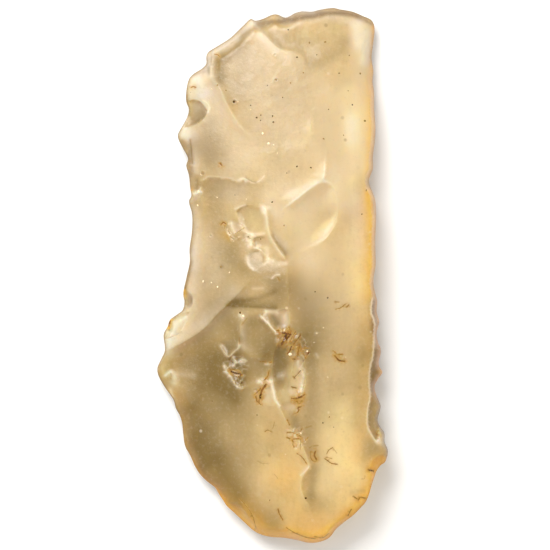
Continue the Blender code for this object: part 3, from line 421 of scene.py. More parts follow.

# %% [markdown]
# The glass isn't one colour either. Iron and tiny bubbles tint it in slow clouds, wind has frosted some
# faces, and arrises are pale where they are bruised. Light and shade are painted in too: a painted glow
# where light comes out of thick glass, a painted amber glow where it has come a long way through it,
# painted light where thin glass lets the paper show through, painted shade on scar sides and edges turned
# from the light, and painted highlights on lit arrises and facets.
# Each zone is a number from 0 to 1, put together from soft strokes that are laid where the real piece
# has them. A stroke that is thinner than the mesh gets its own points, like a thread.

# %% Soft strokes: path, half width, strength
ZONES = {
    # painted glow: light coming out of thick glass, on lit facets and on lit chip floors
    "glow": [
        # top end
        ([(4.5, 39.6), (10, 40.6)], 1.6, 0.35), ([(15.4, 40.4), (15.2, 36)], 1.2, 0.3),
        # upper body
        ([(13.2, 25.5), (13, 21.5)], 1.2, 0.8),
        ([(12.5, 30), (13.5, 27), (14.5, 20), (14.8, 17)], 2, 0.5),
        ([(6.2, 24.4), (6, 22.5), (5, 21.4)], 0.9, 0.5), ([(1, 20), (-2, 18)], 3, 0.3),
        # waist
        ([(13.2, 15.5), (13.6, 12.5)], 1, 0.7), ([(13.6, 6), (13.6, 4)], 1.8, 0.4),
        ([(14, 1), (14.4, -3.5)], 1.9, 0.8), ([(0.2, 13), (2.5, 12.6), (5, 14.4), (7.4, 15.6)], 1.2, 0.3),
        ([(9.4, 13.8), (9.8, 12.2)], 1.2, 0.4), ([(2.4, 8.6), (5, 6.4)], 2.2, 0.4),
        ([(-3.4, 9.6), (-2.8, 7.8)], 1.4, 0.5), ([(16.8, 12), (16.8, 6)], 0.8, 0.2),
        # lower body
        ([(0.5, -25), (3, -33), (4.5, -40)], 3.5, 0.18), ([(15.2, -8), (15, -20)], 1.5, 0.25),
        ([(11.8, -24.5), (11, -30), (9.6, -35.5)], 3.2, 1),
        ([(-2, -27), (0, -31), (2.5, -35), (4, -40)], 2.6, 0.35), ([(9.4, -25.6), (10.5, -22)], 1.6, 0.3),
        ([(3.4, -15.8), (3.5, -18.2)], 0.7, 0.6), ([(1.5, -19.4), (2.4, -20.6)], 0.9, 0.5),
        # butt end
        ([(-1, -34), (3, -40)], 3, 0.2), ([(14.2, -33), (12.5, -37.6)], 2.4, 0.8),
        ([(12.5, -35.5), (9.5, -39.5)], 2, 0.35),
    ],
    # amber tint, and a painted amber glow where light leaves the glass by the thick side, the butt and the
    # edges
    "amber": [
        # all along the blade
        ([(16.5, 13), (17, 8), (16.9, 1), (17.1, -3), (17.4, -8), (17.4, -20)], 1, 1),
        ([(15.8, 31), (16, 20), (15.8, 5), (15.8, -4)], 1.6, 0.45),
        ([(15.6, -8), (15.4, -16), (15, -26), (14.6, -30.5)], 1.8, 0.3),
        # top end
        ([(16.9, 40.8), (16.8, 34.5)], 0.6, 0.9), ([(-6, 34.5)], 2.5, 0.2),
        # upper body
        ([(16.8, 34), (16.8, 28), (16.9, 20), (16.5, 16.5)], 0.9, 1),
        ([(16.4, 23), (16.2, 17)], 0.6, 0.6), ([(-6.4, 27.4)], 1, 0.25),
        # waist
        ([(0.9, -0.9), (1.2, -1.2)], 0.45, 0.45), ([(-13.3, 13.9)], 0.35, 0.9),
        ([(-8.6, 6.6), (-7.6, 5.8)], 0.8, 0.35), ([(-7.6, 6.6), (-7, 5.4)], 0.5, 0.5),
        ([(4, -1), (5.5, -6)], 3, 0.2),
        # lower body
        ([(17.4, -31.8), (16.6, -33)], 0.9, 0.7), ([(0, -26), (1, -33)], 3.5, 0.2),
        ([(11, -29), (13, -34), (12.5, -38)], 3, 0.2), ([(-12.5, -13.5), (-16, -16.5)], 2.5, 0.25),
        ([(-17, -19.4), (-15.4, -21), (-13, -23), (-10.5, -24.2)], 0.6, 0.35),
        ([(-15, -24), (-14.2, -29), (-12, -33.2), (-9.2, -36.2)], 0.5, 0.25),
        ([(-4.5, -7.8), (-5.2, -9), (-5.2, -10.2)], 0.35, 0.35),
        ([(2, -11), (4, -12), (5.5, -13.2)], 1.1, 0.45), ([(3.9, -21.3), (4.6, -21.8)], 0.5, 0.6),
        ([(18.1, -16.6)], 0.35, 1), ([(-7.1, -16), (-6.2, -16.1), (-5.4, -16.2)], 0.3, 0.8),
        ([(17.6, -8.2)], 0.35, 1), ([(-8, -13)], 1.2, 0.3), ([(-9, -15)], 4, 0.25),
        ([(-5, -15.6), (-4, -17.4)], 0.8, 0.3), ([(5.4, -27), (5, -33)], 2.6, 0.12),
        ([(-12.6, -31.5), (-9.8, -35)], 1.4, 0.3),
        # butt end
        ([(17.6, -31.4), (16.9, -33.5), (16.2, -36.5), (14.4, -39), (12, -41.3), (10, -43.2)], 1.3, 1),
        ([(14.6, -37.6), (11, -41.6)], 1.6, 0.15), ([(-7.6, -38.4), (-5.8, -39.8), (-3.6, -42)], 1, 1),
        ([(-8.2, -37.2), (-6, -39.4), (-3.8, -41.6)], 2, 0.85),
        ([(-9, -33), (-5, -37.5), (-1.5, -41.5)], 1.8, 0.38),
        ([(9, -44), (6, -44.4), (2, -43.7), (-1, -43.4), (-3, -42.5)], 1.6, 1),
        ([(2.5, -35), (4.5, -41)], 3.2, 0.36), ([(8, -41)], 4, 0.25),
    ],
    # olive tint of iron in the glass, together with painted shade on faces and scar sides turned away from
    # the light
    "olive": [
        # top end
        ([(-5.5, 33), (-7, 29)], 3, 0.12), ([(-5.5, 36), (-5.5, 30)], 2.6, 0.25),
        ([(-4, 34), (0, 32), (3, 30)], 4, 0.12), ([(-7.6, 36), (-6, 37.3), (-5, 38.3)], 1, 0.42),
        ([(-5, 39.6), (-3.6, 40.3), (-1.8, 40.9)], 0.7, 0.65),
        ([(-13.4, 32.8), (-12.2, 33.2), (-10.9, 33.6)], 0.3, 0.35),
        ([(-5, 37), (3, 38.4), (8, 39)], 3, 0.16),
        # painted shade where the top scar rolls away from the light
        ([(12, 38.2), (11.2, 37), (9.5, 35.6), (8, 34.9), (6.6, 34.8)], 1.2, 0.32),
        ([(11.8, 31.6), (10.5, 30.2)], 0.8, 0.15), ([(-9.4, 35.6), (-8.6, 36.2)], 0.7, 0.3),
        ([(-8.7, 34.8), (-8.7, 32.4)], 1.2, 0.65), ([(-10.6, 34.2), (-10.5, 33.2)], 0.3, 0.5),
        ([(-10.15, 36.4), (-10.1, 34.6)], 0.2, 0.45),
        # upper body
        ([(-10.6, 24.6), (-9.6, 21.6)], 2, 0.28), ([(1, 20), (3, 20)], 2.5, 0.14),
        ([(-14.9, 21.8), (-14.1, 20.4), (-13.8, 18.6), (-13.5, 16.6)], 0.5, 0.5),
        ([(-13.7, 22.1), (-13.5, 20.6), (-13.3, 18.2)], 0.16, 0.5),
        ([(-4.4, 15.7), (-3.5, 15.2), (-2.7, 15)], 0.14, 0.5), ([(-11.6, 16.5)], 0.4, 0.5),
        ([(-15.2, 25), (-14.2, 25.4)], 0.6, 0.4), ([(-12.8, 15.6), (-12.6, 14.4)], 0.9, 0.45),
        ([(-12.5, 21), (-10.5, 18.6)], 2, 0.4), ([(-11.5, 24), (-9, 20)], 2.5, 0.2),
        # waist
        ([(-11.5, 12), (-10.5, 8), (-9.5, 3)], 2.8, 0.18), ([(-4.5, 1), (-1, -1.5)], 2.4, 0.3),
        ([(-5.5, 5.5), (-6.5, 3)], 1.8, 0.3), ([(0.8, -1.5), (1.2, -5)], 1.7, 0.5),
        # painted shade along and above the fold
        ([(-7.6, -5.4), (-6, -5.6), (-4, -5.75), (-1.8, -5.8), (0.6, -5.9)], 0.3, 0.5),
        ([(-7, -5.2), (-5, -4.7), (-3, -4.4), (-1, -3.8), (0.4, -3.2)], 0.5, 0.35),
        ([(-6, -5), (-3, -5.2), (0, -5.4)], 0.9, 0.4), ([(-4.5, 0.8), (0.5, 1)], 1.6, 0.25),
        ([(-3.2, -8), (-1.4, -7.6)], 1.3, 0.5), ([(0.1, -7.4), (0.7, -8.3)], 0.5, 0.55),
        ([(-11.5, -1), (-10.5, -5), (-8.5, -3.5)], 2.4, 0.28), ([(-8.5, 1)], 0.35, 0.5),
        ([(-2.9, 5.9), (-1.6, 5.8)], 0.15, 0.4), ([(-2.4, 5.3), (-1.8, 4.8)], 0.5, 0.2),
        ([(3.8, -2.5), (5, -6), (5.5, -10)], 2.4, 0.54), ([(-12.5, -7.5), (-9, -5)], 2, 0.22),
        ([(-12.5, 13.6), (-9, 13.6)], 1.8, 0.28), ([(-13, 11.9)], 0.7, 0.5),
        ([(-9.5, 10), (-7.5, 4), (-7.5, 0)], 2.3, 0.24),
        ([(-5.8, 10.1), (-5, 10.9), (-4.2, 11.1)], 0.2, 0.4), ([(-3, 5.6), (-2.8, 4.6)], 0.25, 0.5),
        ([(-3.7, 2.9), (-3.2, 3.6), (-2.4, 3.7)], 0.4, 0.4),
        ([(0.2, 5.9), (1, 4.8), (2, 3.4)], 0.6, 0.45), ([(9.8, 10.8), (8.4, 9.8)], 0.8, 0.12),
        ([(12.2, 10.5), (12.3, 9)], 0.7, 0.12), ([(1.5, 4), (4, 0.5)], 2.5, 0.15),
        # lower body
        ([(-15.5, -15.6), (-12.5, -19)], 2.6, 0.4), ([(-12, -15), (-9, -19), (-8, -22)], 3.2, 0.65),
        ([(-13.5, -23), (-12, -28), (-9.5, -32), (-6.8, -35.6), (-5.8, -37)], 2.8, 0.85),
        ([(-9.5, -26), (-8, -30)], 2, 0.35), ([(-6.8, -8.5), (-5.8, -9.5)], 2.2, 0.5),
        ([(-5, -12), (-4.5, -16), (-4, -19)], 2.6, 0.45), ([(-7.4, -12.4), (-6.8, -12.8)], 1, 0.4),
        ([(0.5, -9.8), (-0.5, -13), (0.5, -16.5)], 2.2, 0.45), ([(1.9, -12.6), (2.3, -15.2)], 0.9, 0.35),
        ([(-4.5, -24), (-4.5, -31)], 2.6, 0.35), ([(-11, -11.5), (-9.5, -15), (-8.5, -18)], 2, 0.35),
        ([(4, -12), (5.5, -15)], 2, 0.3), ([(14.6, -14), (14.8, -18), (14.4, -25)], 2, 0.3),
        ([(10.5, -19), (9.6, -24.5)], 1.8, 0.2), ([(2.6, -10.6), (4, -11.6)], 1.4, 0.45),
        ([(1.2, -12), (1.4, -15), (1.2, -18)], 1.3, 0.45), ([(0.5, -26), (0, -29)], 1.8, 0.2),
        ([(-13, -28), (-11.5, -32)], 1.3, 0.3), ([(-8.8, -12.5), (-8.9, -14.5)], 1.2, 0.3),
        ([(-7.2, -19.6), (-6, -21)], 1.2, 0.35), ([(-2, -10), (-1, -12.6)], 2, 0.35),
        ([(-6.2, -15.4), (-5.4, -17.8)], 1.2, 0.35), ([(-5.5, -13), (-4.6, -16.5)], 1.6, 0.28),
        ([(-1.2, -14), (-1.8, -17)], 1.3, 0.28), ([(-0.6, -19.5), (-0.4, -21.4)], 0.9, 0.22),
        ([(-17.6, -15.4), (-17.8, -17)], 0.9, 0.3), ([(0.5, -25), (3, -33), (4.5, -40)], 3.5, 0.08),
        # painted shade on the steep thick side
        ([(16.9, -4), (17.2, -8), (17.2, -14), (17, -19.5)], 0.9, 0.4),
        ([(3.6, -24.2), (3.9, -25.4)], 0.9, 0.4), ([(16.6, -29), (18.2, -29.8)], 1.6, 0.35),
        ([(15.4, -27.6), (14.8, -30.4)], 1.3, 0.12), ([(7.2, -4), (8, -8), (8, -12)], 2.4, 0.35),
        ([(6.2, -13), (6.4, -16), (6.6, -21), (6.2, -25)], 1.4, 0.35),
        ([(6, -27), (6.6, -30)], 1.3, 0.35), ([(15.3, -9), (15.4, -14)], 1.5, 0.3),
        ([(17, -29.2), (16.4, -30.4)], 1.2, 0.22), ([(-7.4, -14.4)], 1.2, 0.45),
        ([(0.7, -8.5)], 0.4, 0.45),
        # butt end
        ([(-12.5, -33), (-9.5, -37)], 1.2, 0.4), ([(1, -37), (-0.5, -41)], 2.2, 0.12),
        ([(-2.5, -39.5), (0.5, -41)], 1.6, 0.28), ([(6.5, -38.2), (9, -38.6)], 1.8, 0.25),
        ([(7, -32.6), (6.7, -35), (6.5, -37)], 0.8, 0.4), ([(13.2, -36.6), (15.2, -36.3)], 0.5, 0.3),
        ([(-3.6, -40), (-1, -42), (1.5, -42.8)], 1, 0.2),
    ],
    # dark brown in the bites of the thin side, and painted shade along edges
    "umber": [
        # top end
        # painted shade in the band under the top edge
        ([(-2.4, 41.45), (0, 41.8), (2.2, 41.9), (3.5, 42.1)], 0.6, 0.62),
        ([(4.2, 42.6), (6.5, 42.8), (7.6, 43)], 0.7, 0.75),
        ([(8.4, 43.2), (11, 43.3), (13.5, 43), (15.4, 42.1)], 0.55, 0.7),
        ([(-2, 41.2), (2, 41.7), (6, 42.4), (10, 43), (14, 42.6)], 0.8, 0.35),
        ([(2, 42.4), (2.8, 42.3)], 0.2, 0.6), ([(15.8, 41.8), (16.6, 41.4)], 0.3, 0.5),
        ([(-10.5, 36.8), (-10.1, 37.05)], 0.2, 0.8),
        # upper body
        ([(-14.3, 29.6), (-14.2, 28.2)], 0.25, 0.8), ([(-15.2, 22), (-14.7, 20.6)], 0.25, 0.4),
        ([(-14, 19.5), (-13.8, 17.5), (-13.6, 16)], 0.35, 0.45),
        # waist
        ([(16.7, -5), (16.7, -9.5)], 0.5, 0.35),
        ([(-13.6, 1.8), (-14.1, -0.8), (-14.6, -2.8)], 0.35, 0.75),
        ([(-13.4, 10), (-13.3, 7), (-13.6, 3.5)], 0.3, 0.4), ([(-14.7, -2.6), (-14.9, -3.9)], 0.28, 0.95),
        ([(-13.5, -4), (-13.5, -5)], 0.3, 0.4), ([(-15.9, -7.1), (-16.9, -8)], 0.2, 0.5),
        ([(17, -3.2), (16.8, -2)], 0.25, 0.6), ([(16.9, 12), (17.1, 10)], 0.3, 0.4),
        # lower body
        # painted shade on the steep thick side
        ([(17.2, -5), (17.2, -8), (17.3, -13), (17.1, -19)], 0.9, 0.78),
        ([(17, -20.8), (17, -25.5)], 0.7, 0.3), ([(-17.1, -8), (-17.3, -8.8), (-17.2, -9.6)], 0.2, 0.95),
        ([(-17, -20.5), (-16.3, -22.5), (-15.2, -24.5), (-14.8, -28)], 0.3, 0.45),
        ([(-15.2, -9.9), (-16.3, -10.6), (-17.6, -11)], 0.12, 0.5),
        ([(17.4, -11), (17.9, -13)], 0.2, 0.5), ([(17.6, -25.5), (18.5, -26.7)], 0.3, 0.5),
        ([(-15.4, -22.2), (-14.2, -25), (-13.4, -29)], 0.9, 0.35),
        ([(-14.4, -28.6), (-13, -31.4), (-11, -34.2), (-9, -36.4)], 0.7, 0.4),
        ([(-18.9, -14.8), (-19.1, -16.6)], 0.5, 0.5), ([(-18, -18.2), (-16.2, -20.8)], 1, 0.5),
    ],
    # wind-frosted faces, and painted light where thin glass lets the white paper show through
    "frost": [
        # top end
        ([(-13, 32.2), (-12.3, 31.8), (-11.8, 30.4)], 1.3, 0.75),
        ([(-10.8, 36.2), (-10.8, 34.4)], 1.1, 0.85), ([(-13.8, 31), (-13.8, 29.4)], 0.6, 0.5),
        ([(-9.8, 36.9), (-7.5, 38.2), (-5.2, 39.8), (-3.3, 41.6)], 1.2, 0.8),
        # painted light at the thin upper right corner
        ([(14, 40.8), (14.2, 38.4)], 1.3, 0.5), ([(16.2, 40), (16.1, 37.6), (15.6, 35)], 1, 0.5),
        ([(-1.6, 39.6), (0.6, 37.2)], 0.8, 0.4), ([(16.9, 41), (16.6, 34.5)], 0.8, 0.5),
        ([(3, 42), (9, 42.6), (14.5, 41.8)], 0.9, 0.5),
        ([(-12.5, 33), (-11, 33.4), (-9.6, 32.4)], 1, 0.5),
        # upper body
        ([(-11.5, 29.4)], 2, 0.45), ([(-14.8, 23.4), (-13.8, 22.9)], 1.3, 1),
        ([(-13.6, 19.6), (-13.2, 17)], 1, 0.5), ([(-12.8, 26.5)], 1.8, 0.5),
        ([(-12.8, 20.8), (-11.5, 22.5), (-9.5, 25)], 2.6, 0.3),
        ([(-4, 34), (-2, 27), (-4, 20)], 4.5, 0.25), ([(4, 33), (4, 22)], 4.5, 0.22),
        ([(-10, 20), (-7, 18)], 3, 0.25), ([(-10.2, 30), (-8.6, 27.6)], 1.2, 0.3),
        ([(13.2, 25), (13.4, 22)], 1, 0.4),
        # waist
        ([(-10.5, 6), (-9, 0)], 2.5, 0.25), ([(14.6, 13), (14.8, 4)], 1.8, 0.4),
        ([(-13.6, 4), (-13.4, 0), (-14, -5), (-15.6, -8)], 1.3, 0.35),
        ([(-12, -2), (-12.6, -6)], 3, 0.25), ([(2, 12.6), (5, 14), (8, 15.4)], 0.8, 0.15),
        ([(-13.3, 12), (-13, 6), (-13.2, 1)], 1.1, 0.45), ([(1, 15), (4, 11.5)], 3, 0.2),
        ([(-8.5, 13.2), (-5.5, 13)], 1.5, 0.3),
        # lower body
        ([(-17.8, -13.6), (-18.3, -15.4)], 1.2, 0.2), ([(-8.6, -37.4)], 0.7, 0.5),
        ([(-17, -12.2), (-12, -8.7), (-6.5, -3.2)], 1.4, 0.45),
        ([(-16.4, -8.8), (-17.4, -11), (-17.9, -13)], 1.2, 0.6),
        ([(-18.2, -15.6), (-17.2, -19)], 0.9, 0.35),
    ],
    # pale bruised arrises, and painted highlights on lit arrises, facets and chip rims
    "pale": [
        # top end
        ([(14.6, 37), (14.8, 33)], 1.6, 0.3), ([(14, 40.8), (14.2, 38.4)], 1.1, 0.5),
        ([(16.1, 40), (15.8, 37.6), (15, 35)], 0.6, 0.4),
        ([(-9.8, 37), (-7.5, 38.3), (-5.2, 39.8), (-3.3, 41.6)], 0.5, 0.2), ([(-3.4, 41.6)], 0.4, 0.5),
        ([(-2.4, 40.2), (-1.4, 38.8), (0.2, 37.2), (2.6, 35.8)], 0.9, 0.2),
        ([(-9.9, 35.6), (-10.2, 33.6), (-10.2, 32.6)], 0.2, 0.5),
        # upper body
        ([(10, 29), (10.5, 18)], 3.5, 0.25), ([(14.6, 30), (14.6, 18)], 2.2, 0.35),
        ([(-14.9, 23.4), (-14.2, 23)], 0.6, 0.5),
        ([(-11.4, 28.6), (-10.8, 28.2), (-10.5, 27.5), (-10.7, 26.7)], 0.16, 0.8),
        ([(13.1, 25.2), (13, 22.5)], 1.1, 0.35), ([(-2.4, 15.05), (-1.9, 15.4), (-1.4, 16)], 0.15, 0.8),
        ([(-5.3, 15.6), (-4.8, 15.7), (-4.2, 15.3)], 0.18, 0.5),
        ([(-5.6, 15.4), (-4.9, 15.6), (-4.4, 15.1)], 0.2, 0.7),
        # waist
        ([(7.5, 12.6), (5, 10), (6, 3)], 3, 0.3), ([(10.4, 15.4), (12, 11)], 2.2, 0.3),
        ([(0.5, 10), (-0.5, 12.6)], 1.6, 0.35), ([(6, 1), (6.5, -5)], 2.6, 0.2),
        ([(11.5, 3), (11.5, -8)], 3, 0.12), ([(-6.2, 10.6), (-4.6, 11.2)], 0.2, 0.6),
        ([(-1.7, 11), (-1.4, 10)], 0.4, 0.6), ([(-6.8, 8.2), (-6.7, 7.3), (-6.2, 6.6)], 0.25, 0.7),
        ([(-5.3, 7.9), (-4.8, 7.6)], 0.3, 0.7), ([(-4.2, 6.3), (-3.4, 6.4), (-2.9, 6.1)], 0.25, 0.7),
        ([(-2.5, 6.35), (-1.4, 6.5)], 0.2, 0.6), ([(-4.2, 5.4), (-3.5, 5), (-3.9, 4.4)], 0.35, 0.75),
        ([(-2.6, 4.1), (-1.9, 3.7)], 0.15, 0.6), ([(-0.9, 3.9), (-0.9, 3), (-0.8, 2.4)], 0.35, 0.5),
        ([(-0.6, 2.3), (0.1, 1.9)], 0.2, 0.6), ([(-1.3, 1.4), (-0.7, 1.8)], 0.2, 0.5),
        ([(-4.2, 2.6), (-3.9, 1.4), (-3.2, 0.6)], 0.3, 0.45),
        ([(-2.9, 4.1), (-2, 3.8), (-1.4, 3.2)], 0.15, 0.5),
        ([(0, -0.9), (0.45, -0.45), (1.2, -0.35)], 0.16, 0.6), ([(-3.2, -2.7), (-1.6, -2.6)], 0.25, 0.35),
        ([(-1.1, -6.45), (0.8, -6.6)], 0.3, 0.6), ([(1, -6.7), (2.3, -6.6)], 0.4, 0.3),
        ([(2, -7.2), (2.2, -8.6)], 0.5, 0.55), ([(-5.3, -7.1), (-4.9, -7.4)], 0.35, 1),
        ([(-14.7, -4.1)], 0.25, 0.8), ([(-14, -5.95)], 0.2, 0.9), ([(-15.3, -8), (-14.4, -7.4)], 0.25, 1),
        ([(-13.2, 13.1), (-12.5, 13.4), (-11.8, 13.5)], 0.25, 1),
        ([(-12.3, 13.6), (-11.9, 14.1)], 0.2, 0.7),
        # lower body
        ([(10, -28), (9.5, -35)], 2.6, 0.1), ([(1.2, -9.2), (1.9, -9.4)], 0.3, 0.5),
        ([(0.6, -10.1), (1.5, -10)], 0.2, 0.8), ([(-5.2, -12.3), (-3.6, -13)], 0.5, 0.15),
        ([(-5, -9), (-4.6, -12.5)], 0.6, 0.2), ([(-6.5, -14), (-6.2, -15), (-6.6, -15.6)], 0.25, 0.55),
        ([(-8.1, -15.6), (-7.4, -16.2)], 0.2, 0.35), ([(-7.9, -16.6), (-7.2, -17.2)], 0.25, 0.4),
        ([(-1.2, -15.2), (-0.6, -15.2)], 0.2, 0.6), ([(-2.3, -18.1), (-1.5, -17.9)], 0.35, 0.8),
        ([(-1.3, -18.2), (-0.2, -18.1)], 0.35, 0.9), ([(-0.8, -19.8), (-0.7, -21)], 0.8, 0.35),
        ([(-0.1, -18.7), (0.2, -19.8), (0.5, -21.2), (1.3, -22.1)], 0.2, 0.8),
        ([(6.1, -32.2), (5.5, -32.9), (4.7, -33.7)], 0.16, 0.5),
        ([(-5.2, -14.9), (-4.6, -14.9)], 0.2, 0.5), ([(-2.15, -20.8), (-2.1, -21.4)], 0.12, 0.7),
        ([(4.2, -14.3), (4.4, -15.8), (4.9, -16.6), (5.2, -17.2)], 0.25, 0.6),
        ([(4.9, -18), (4.7, -19.5)], 0.3, 0.6), ([(2.9, -19.6), (3.8, -20.1)], 0.45, 0.45),
        ([(2.6, -22.4), (3.4, -22.2)], 0.5, 0.3), ([(0.8, -11.1), (0.9, -11.4)], 0.3, 0.5),
        ([(7.3, -13.6), (7.6, -14.1)], 0.25, 0.4), ([(7.3, -10.1)], 0.22, 0.5),
        ([(-17.6, -10), (-16.9, -10.05)], 0.25, 1), ([(-16.4, -9), (-15.6, -8.6)], 0.8, 0.08),
        ([(-17.9, -17.2), (-17.1, -16.6)], 0.3, 0.7), ([(-16.3, -17.2), (-16.2, -18.3)], 0.5, 0.5),
        ([(-15.6, -16.8), (-13.2, -17.2)], 0.6, 0.2), ([(-17, -19.5), (-16.4, -21.6)], 0.3, 0.4),
        ([(17.6, -28.2), (18.2, -28.2)], 0.4, 0.6),
    ],
}
print("strokes:", {zone: len(strokes) for zone, strokes in ZONES.items()})

# %% [markdown]
# Every scar needs three questions answered for a point of the face: how far is it from the scar's
# line, on which side, and how far along. NumPy answers them for all points at once, which is much
# faster than asking Blender point by point.

# %% Curves and distances in plan
FAR = 1000.0              # distance given to points that are too far off to matter
LINE_STEP = 0.2           # spacing of points along the scar lines
SCARS = {**CREASES, **RIDGES}


def curve_through(points, step, closed=False):
    """Smooth curve through the points (centripetal Catmull-Rom), with a point about every step."""
    pts = np.array(points, float)
    if closed:
        pts = np.vstack([pts[-1:], pts, pts[:2]])
    else:
        pts = np.vstack([2 * pts[:1] - pts[1:2], pts, 2 * pts[-1:] - pts[-2:-1]])
    pieces = []
    for p0, p1, p2, p3 in zip(pts, pts[1:], pts[2:], pts[3:]):
        t1 = math.dist(p0, p1) ** 0.5
        t2 = t1 + math.dist(p1, p2) ** 0.5
        t3 = t2 + math.dist(p2, p3) ** 0.5
        count = max(1, round(math.dist(p1, p2) / step))
        t = t1 + (t2 - t1) * np.arange(count)[:, None] / count
        a1 = (t1 - t) / t1 * p0 + t / t1 * p1
        a2 = (t2 - t) / (t2 - t1) * p1 + (t - t1) / (t2 - t1) * p2
        a3 = (t3 - t) / (t3 - t2) * p2 + (t - t2) / (t3 - t2) * p3
        b1 = (t2 - t) / t2 * a1 + t / t2 * a2
        b2 = (t3 - t) / (t3 - t1) * a2 + (t - t1) / (t3 - t1) * a3
        pieces.append((t2 - t) / (t2 - t1) * b1 + (t - t1) / (t2 - t1) * b2)
    if not closed:
        pieces.append(pts[-2:-1])
    return np.vstack(pieces)


def close_by(curve, xy, reach):
    """Numbers of the points in xy that are in the curve's box, widened by reach."""
    low, high = curve.min(axis=0) - reach, curve.max(axis=0) + reach
    return np.flatnonzero(((xy >= low) & (xy <= high)).all(axis=1))


def nearest(curve, xy, reach=math.inf):
    """For every point in xy: its distance to the curve, its side of it, and how far along that is.

    The curve's length comes last. Points outside the curve's box, widened by reach, get FAR.
    """
    close = close_by(curve, xy, reach)
    x, y = xy[close].T
    least = np.full(len(close), FAR ** 2)
    side = np.full(len(close), LEFT)
    along = np.zeros(len(close))
    start = 0.0
    for (ax, ay), (bx, by) in zip(curve, curve[1:]):
        step = math.hypot(bx - ax, by - ay)
        ux, uy = (bx - ax) / step, (by - ay) / step
        t = np.clip((x - ax) * ux + (y - ay) * uy, 0, step)
        off_x, off_y = x - ax - t * ux, y - ay - t * uy
        square = off_x * off_x + off_y * off_y
        hit = square < least
        least[hit] = square[hit]
        side[hit] = np.where(ux * off_y[hit] - uy * off_x[hit] >= 0, LEFT, RIGHT)
        along[hit] = start + t[hit]
        start += step
    result = np.tile([[FAR], [LEFT], [0.0]], len(xy))
    result[:, close] = np.sqrt(least), side, along
    return *result, start


def inside(ring, xy):
    """True for the points in xy that lie inside the closed ring."""
    close = close_by(ring, xy, 0)
    x, y = xy[close].T
    within = np.zeros(len(close), bool)
    for (x0, y0), (x1, y1) in zip(ring, np.roll(ring, -1, axis=0)):
        if y0 != y1:
            within ^= ((y0 > y) != (y1 > y)) & (x < x0 + (x1 - x0) * (y - y0) / (y1 - y0))
    result = np.zeros(len(xy), bool)
    result[close] = within
    return result


def closed_loop(ring):
    return np.vstack([ring, ring[:1]])


def ring_curve(points, xy):
    """The smooth ring through the points, which of xy it holds, and how far they are from it."""
    curve = curve_through(points, LINE_STEP, closed=True)
    return curve, inside(curve, xy), nearest(closed_loop(curve), xy, 0)[0]


def smooth_share(value, length):
    """Rises smoothly from 0 to 1 as value goes from 0 to length."""
    t = np.clip(value / np.maximum(length, 1e-6), 0, 1)
    return t * t * (3 - 2 * t)


def straight_share(value, start, end):
    """Rises in a straight line from 0 to 1 as value goes from start to end."""
    return np.clip((value - start) / (end - start), 0, 1)


print("curve helpers ready")

# %% Strength of the rust
RUST_STEP = 0.1           # spacing of points along the threads
RUST_UNEVEN = 0.5         # a thread is narrower and wider by this share
RUST_WAVES = 3.1          # and changes about this often in a millimetre
RUST_CRISP = 1.6          # how steeply it falls off at its sides


def near_rust(xy, spread=1.0, pool=np.maximum):
    """Strength of the rust at every point: full on a thread's path, none past spread half widths."""
    strength = np.zeros(len(xy))
    for path, half_width, amount in RUST:
        reach = half_width * spread
        farthest = (1 + RUST_UNEVEN) * reach
        off = nearest(curve_through(path, RUST_STEP), xy, farthest)[0]
        close = np.flatnonzero(off < farthest)
        uneven = np.array([noise.noise((x * RUST_WAVES, y * RUST_WAVES, 2.0)) for x, y in xy[close]])
        share = np.clip(RUST_CRISP * (1 + RUST_UNEVEN * uneven - off[close] / reach), 0, 1)
        strength[close] = pool(strength[close], amount * share)
    return strength


print("rust helper ready")

# %% [markdown]
# ## Heights
# The upper face is the sheet, less the creases and chips, plus the ridges, and it falls to the rim
# over a short bevel. The underside is a shallow bowl with a level floor.

# %% Heights of both faces
STIFFNESS = 2.0           # of the thin plate: the stiffer, the more it smooths the spot heights
RIM = 0.3                 # thickness of the rim where the two faces meet
EDGE_HEIGHT = 1.7         # height of the rim above the ground, on the thin side
EDGE_LIFT_RIGHT = 2.0     # more on the thick side, below its upper third
EDGE_LIFT_CORNER = 2.6    # more at the lower right corner
EDGE_LIFT_BUTT = 0.8      # more at the butt end
EDGE_WAVE = 0.22          # the rim waves up and down by this much
BOWL_WIDTH = 13.0         # the underside curves up over this distance from the edge
BOWL_CURVE = 1.6          # 1 would be a straight slope, 2 a parabola
BEVEL_THIN = 2.6          # the upper face falls to the edge over this distance, on the thin side
BEVEL_THICK = 0.8         # and on the thick side
BEVEL_CORNER = 1.6        # and at the upper right corner, where the blade is thin
LEAST_THICKNESS = 0.5


def sheet_heights(spots, xy):
    """Heights at xy of the thin plate that bends through the spot heights."""
    spots = np.array(spots, float)
    knots = spots[:, :2]

    def bend(points):
        square = ((points[:, None, :] - knots[None, :, :]) ** 2).sum(axis=2)
        return square * np.log(square + 1e-9)

    count = len(spots)
    system = np.zeros((count + 3, count + 3))
    system[:count, :count] = bend(knots) + STIFFNESS * np.eye(count)
    system[:count, count] = 1
    system[:count, count + 1:] = knots
    system[count:, :count] = system[:count, count:].T
    weights = np.linalg.solve(system, np.append(spots[:, 2], [0, 0, 0]))
    return bend(xy) @ weights[:count] + weights[count] + xy @ weights[count + 1:]


def end_fade(along, length, fade):
    return smooth_share(along, fade[0]) * smooth_share(length - along, fade[1])


def crease_depth(xy, path, side, drop, wall, reach, fade):
    off, which, along, length = nearest(curve_through(path, LINE_STEP), xy, 3 * reach)
    depth = drop * (1 - np.exp(-off / wall)) * np.exp(-(off / reach) ** 2)
    return np.where(which == side, depth * end_fade(along, length, fade), 0)


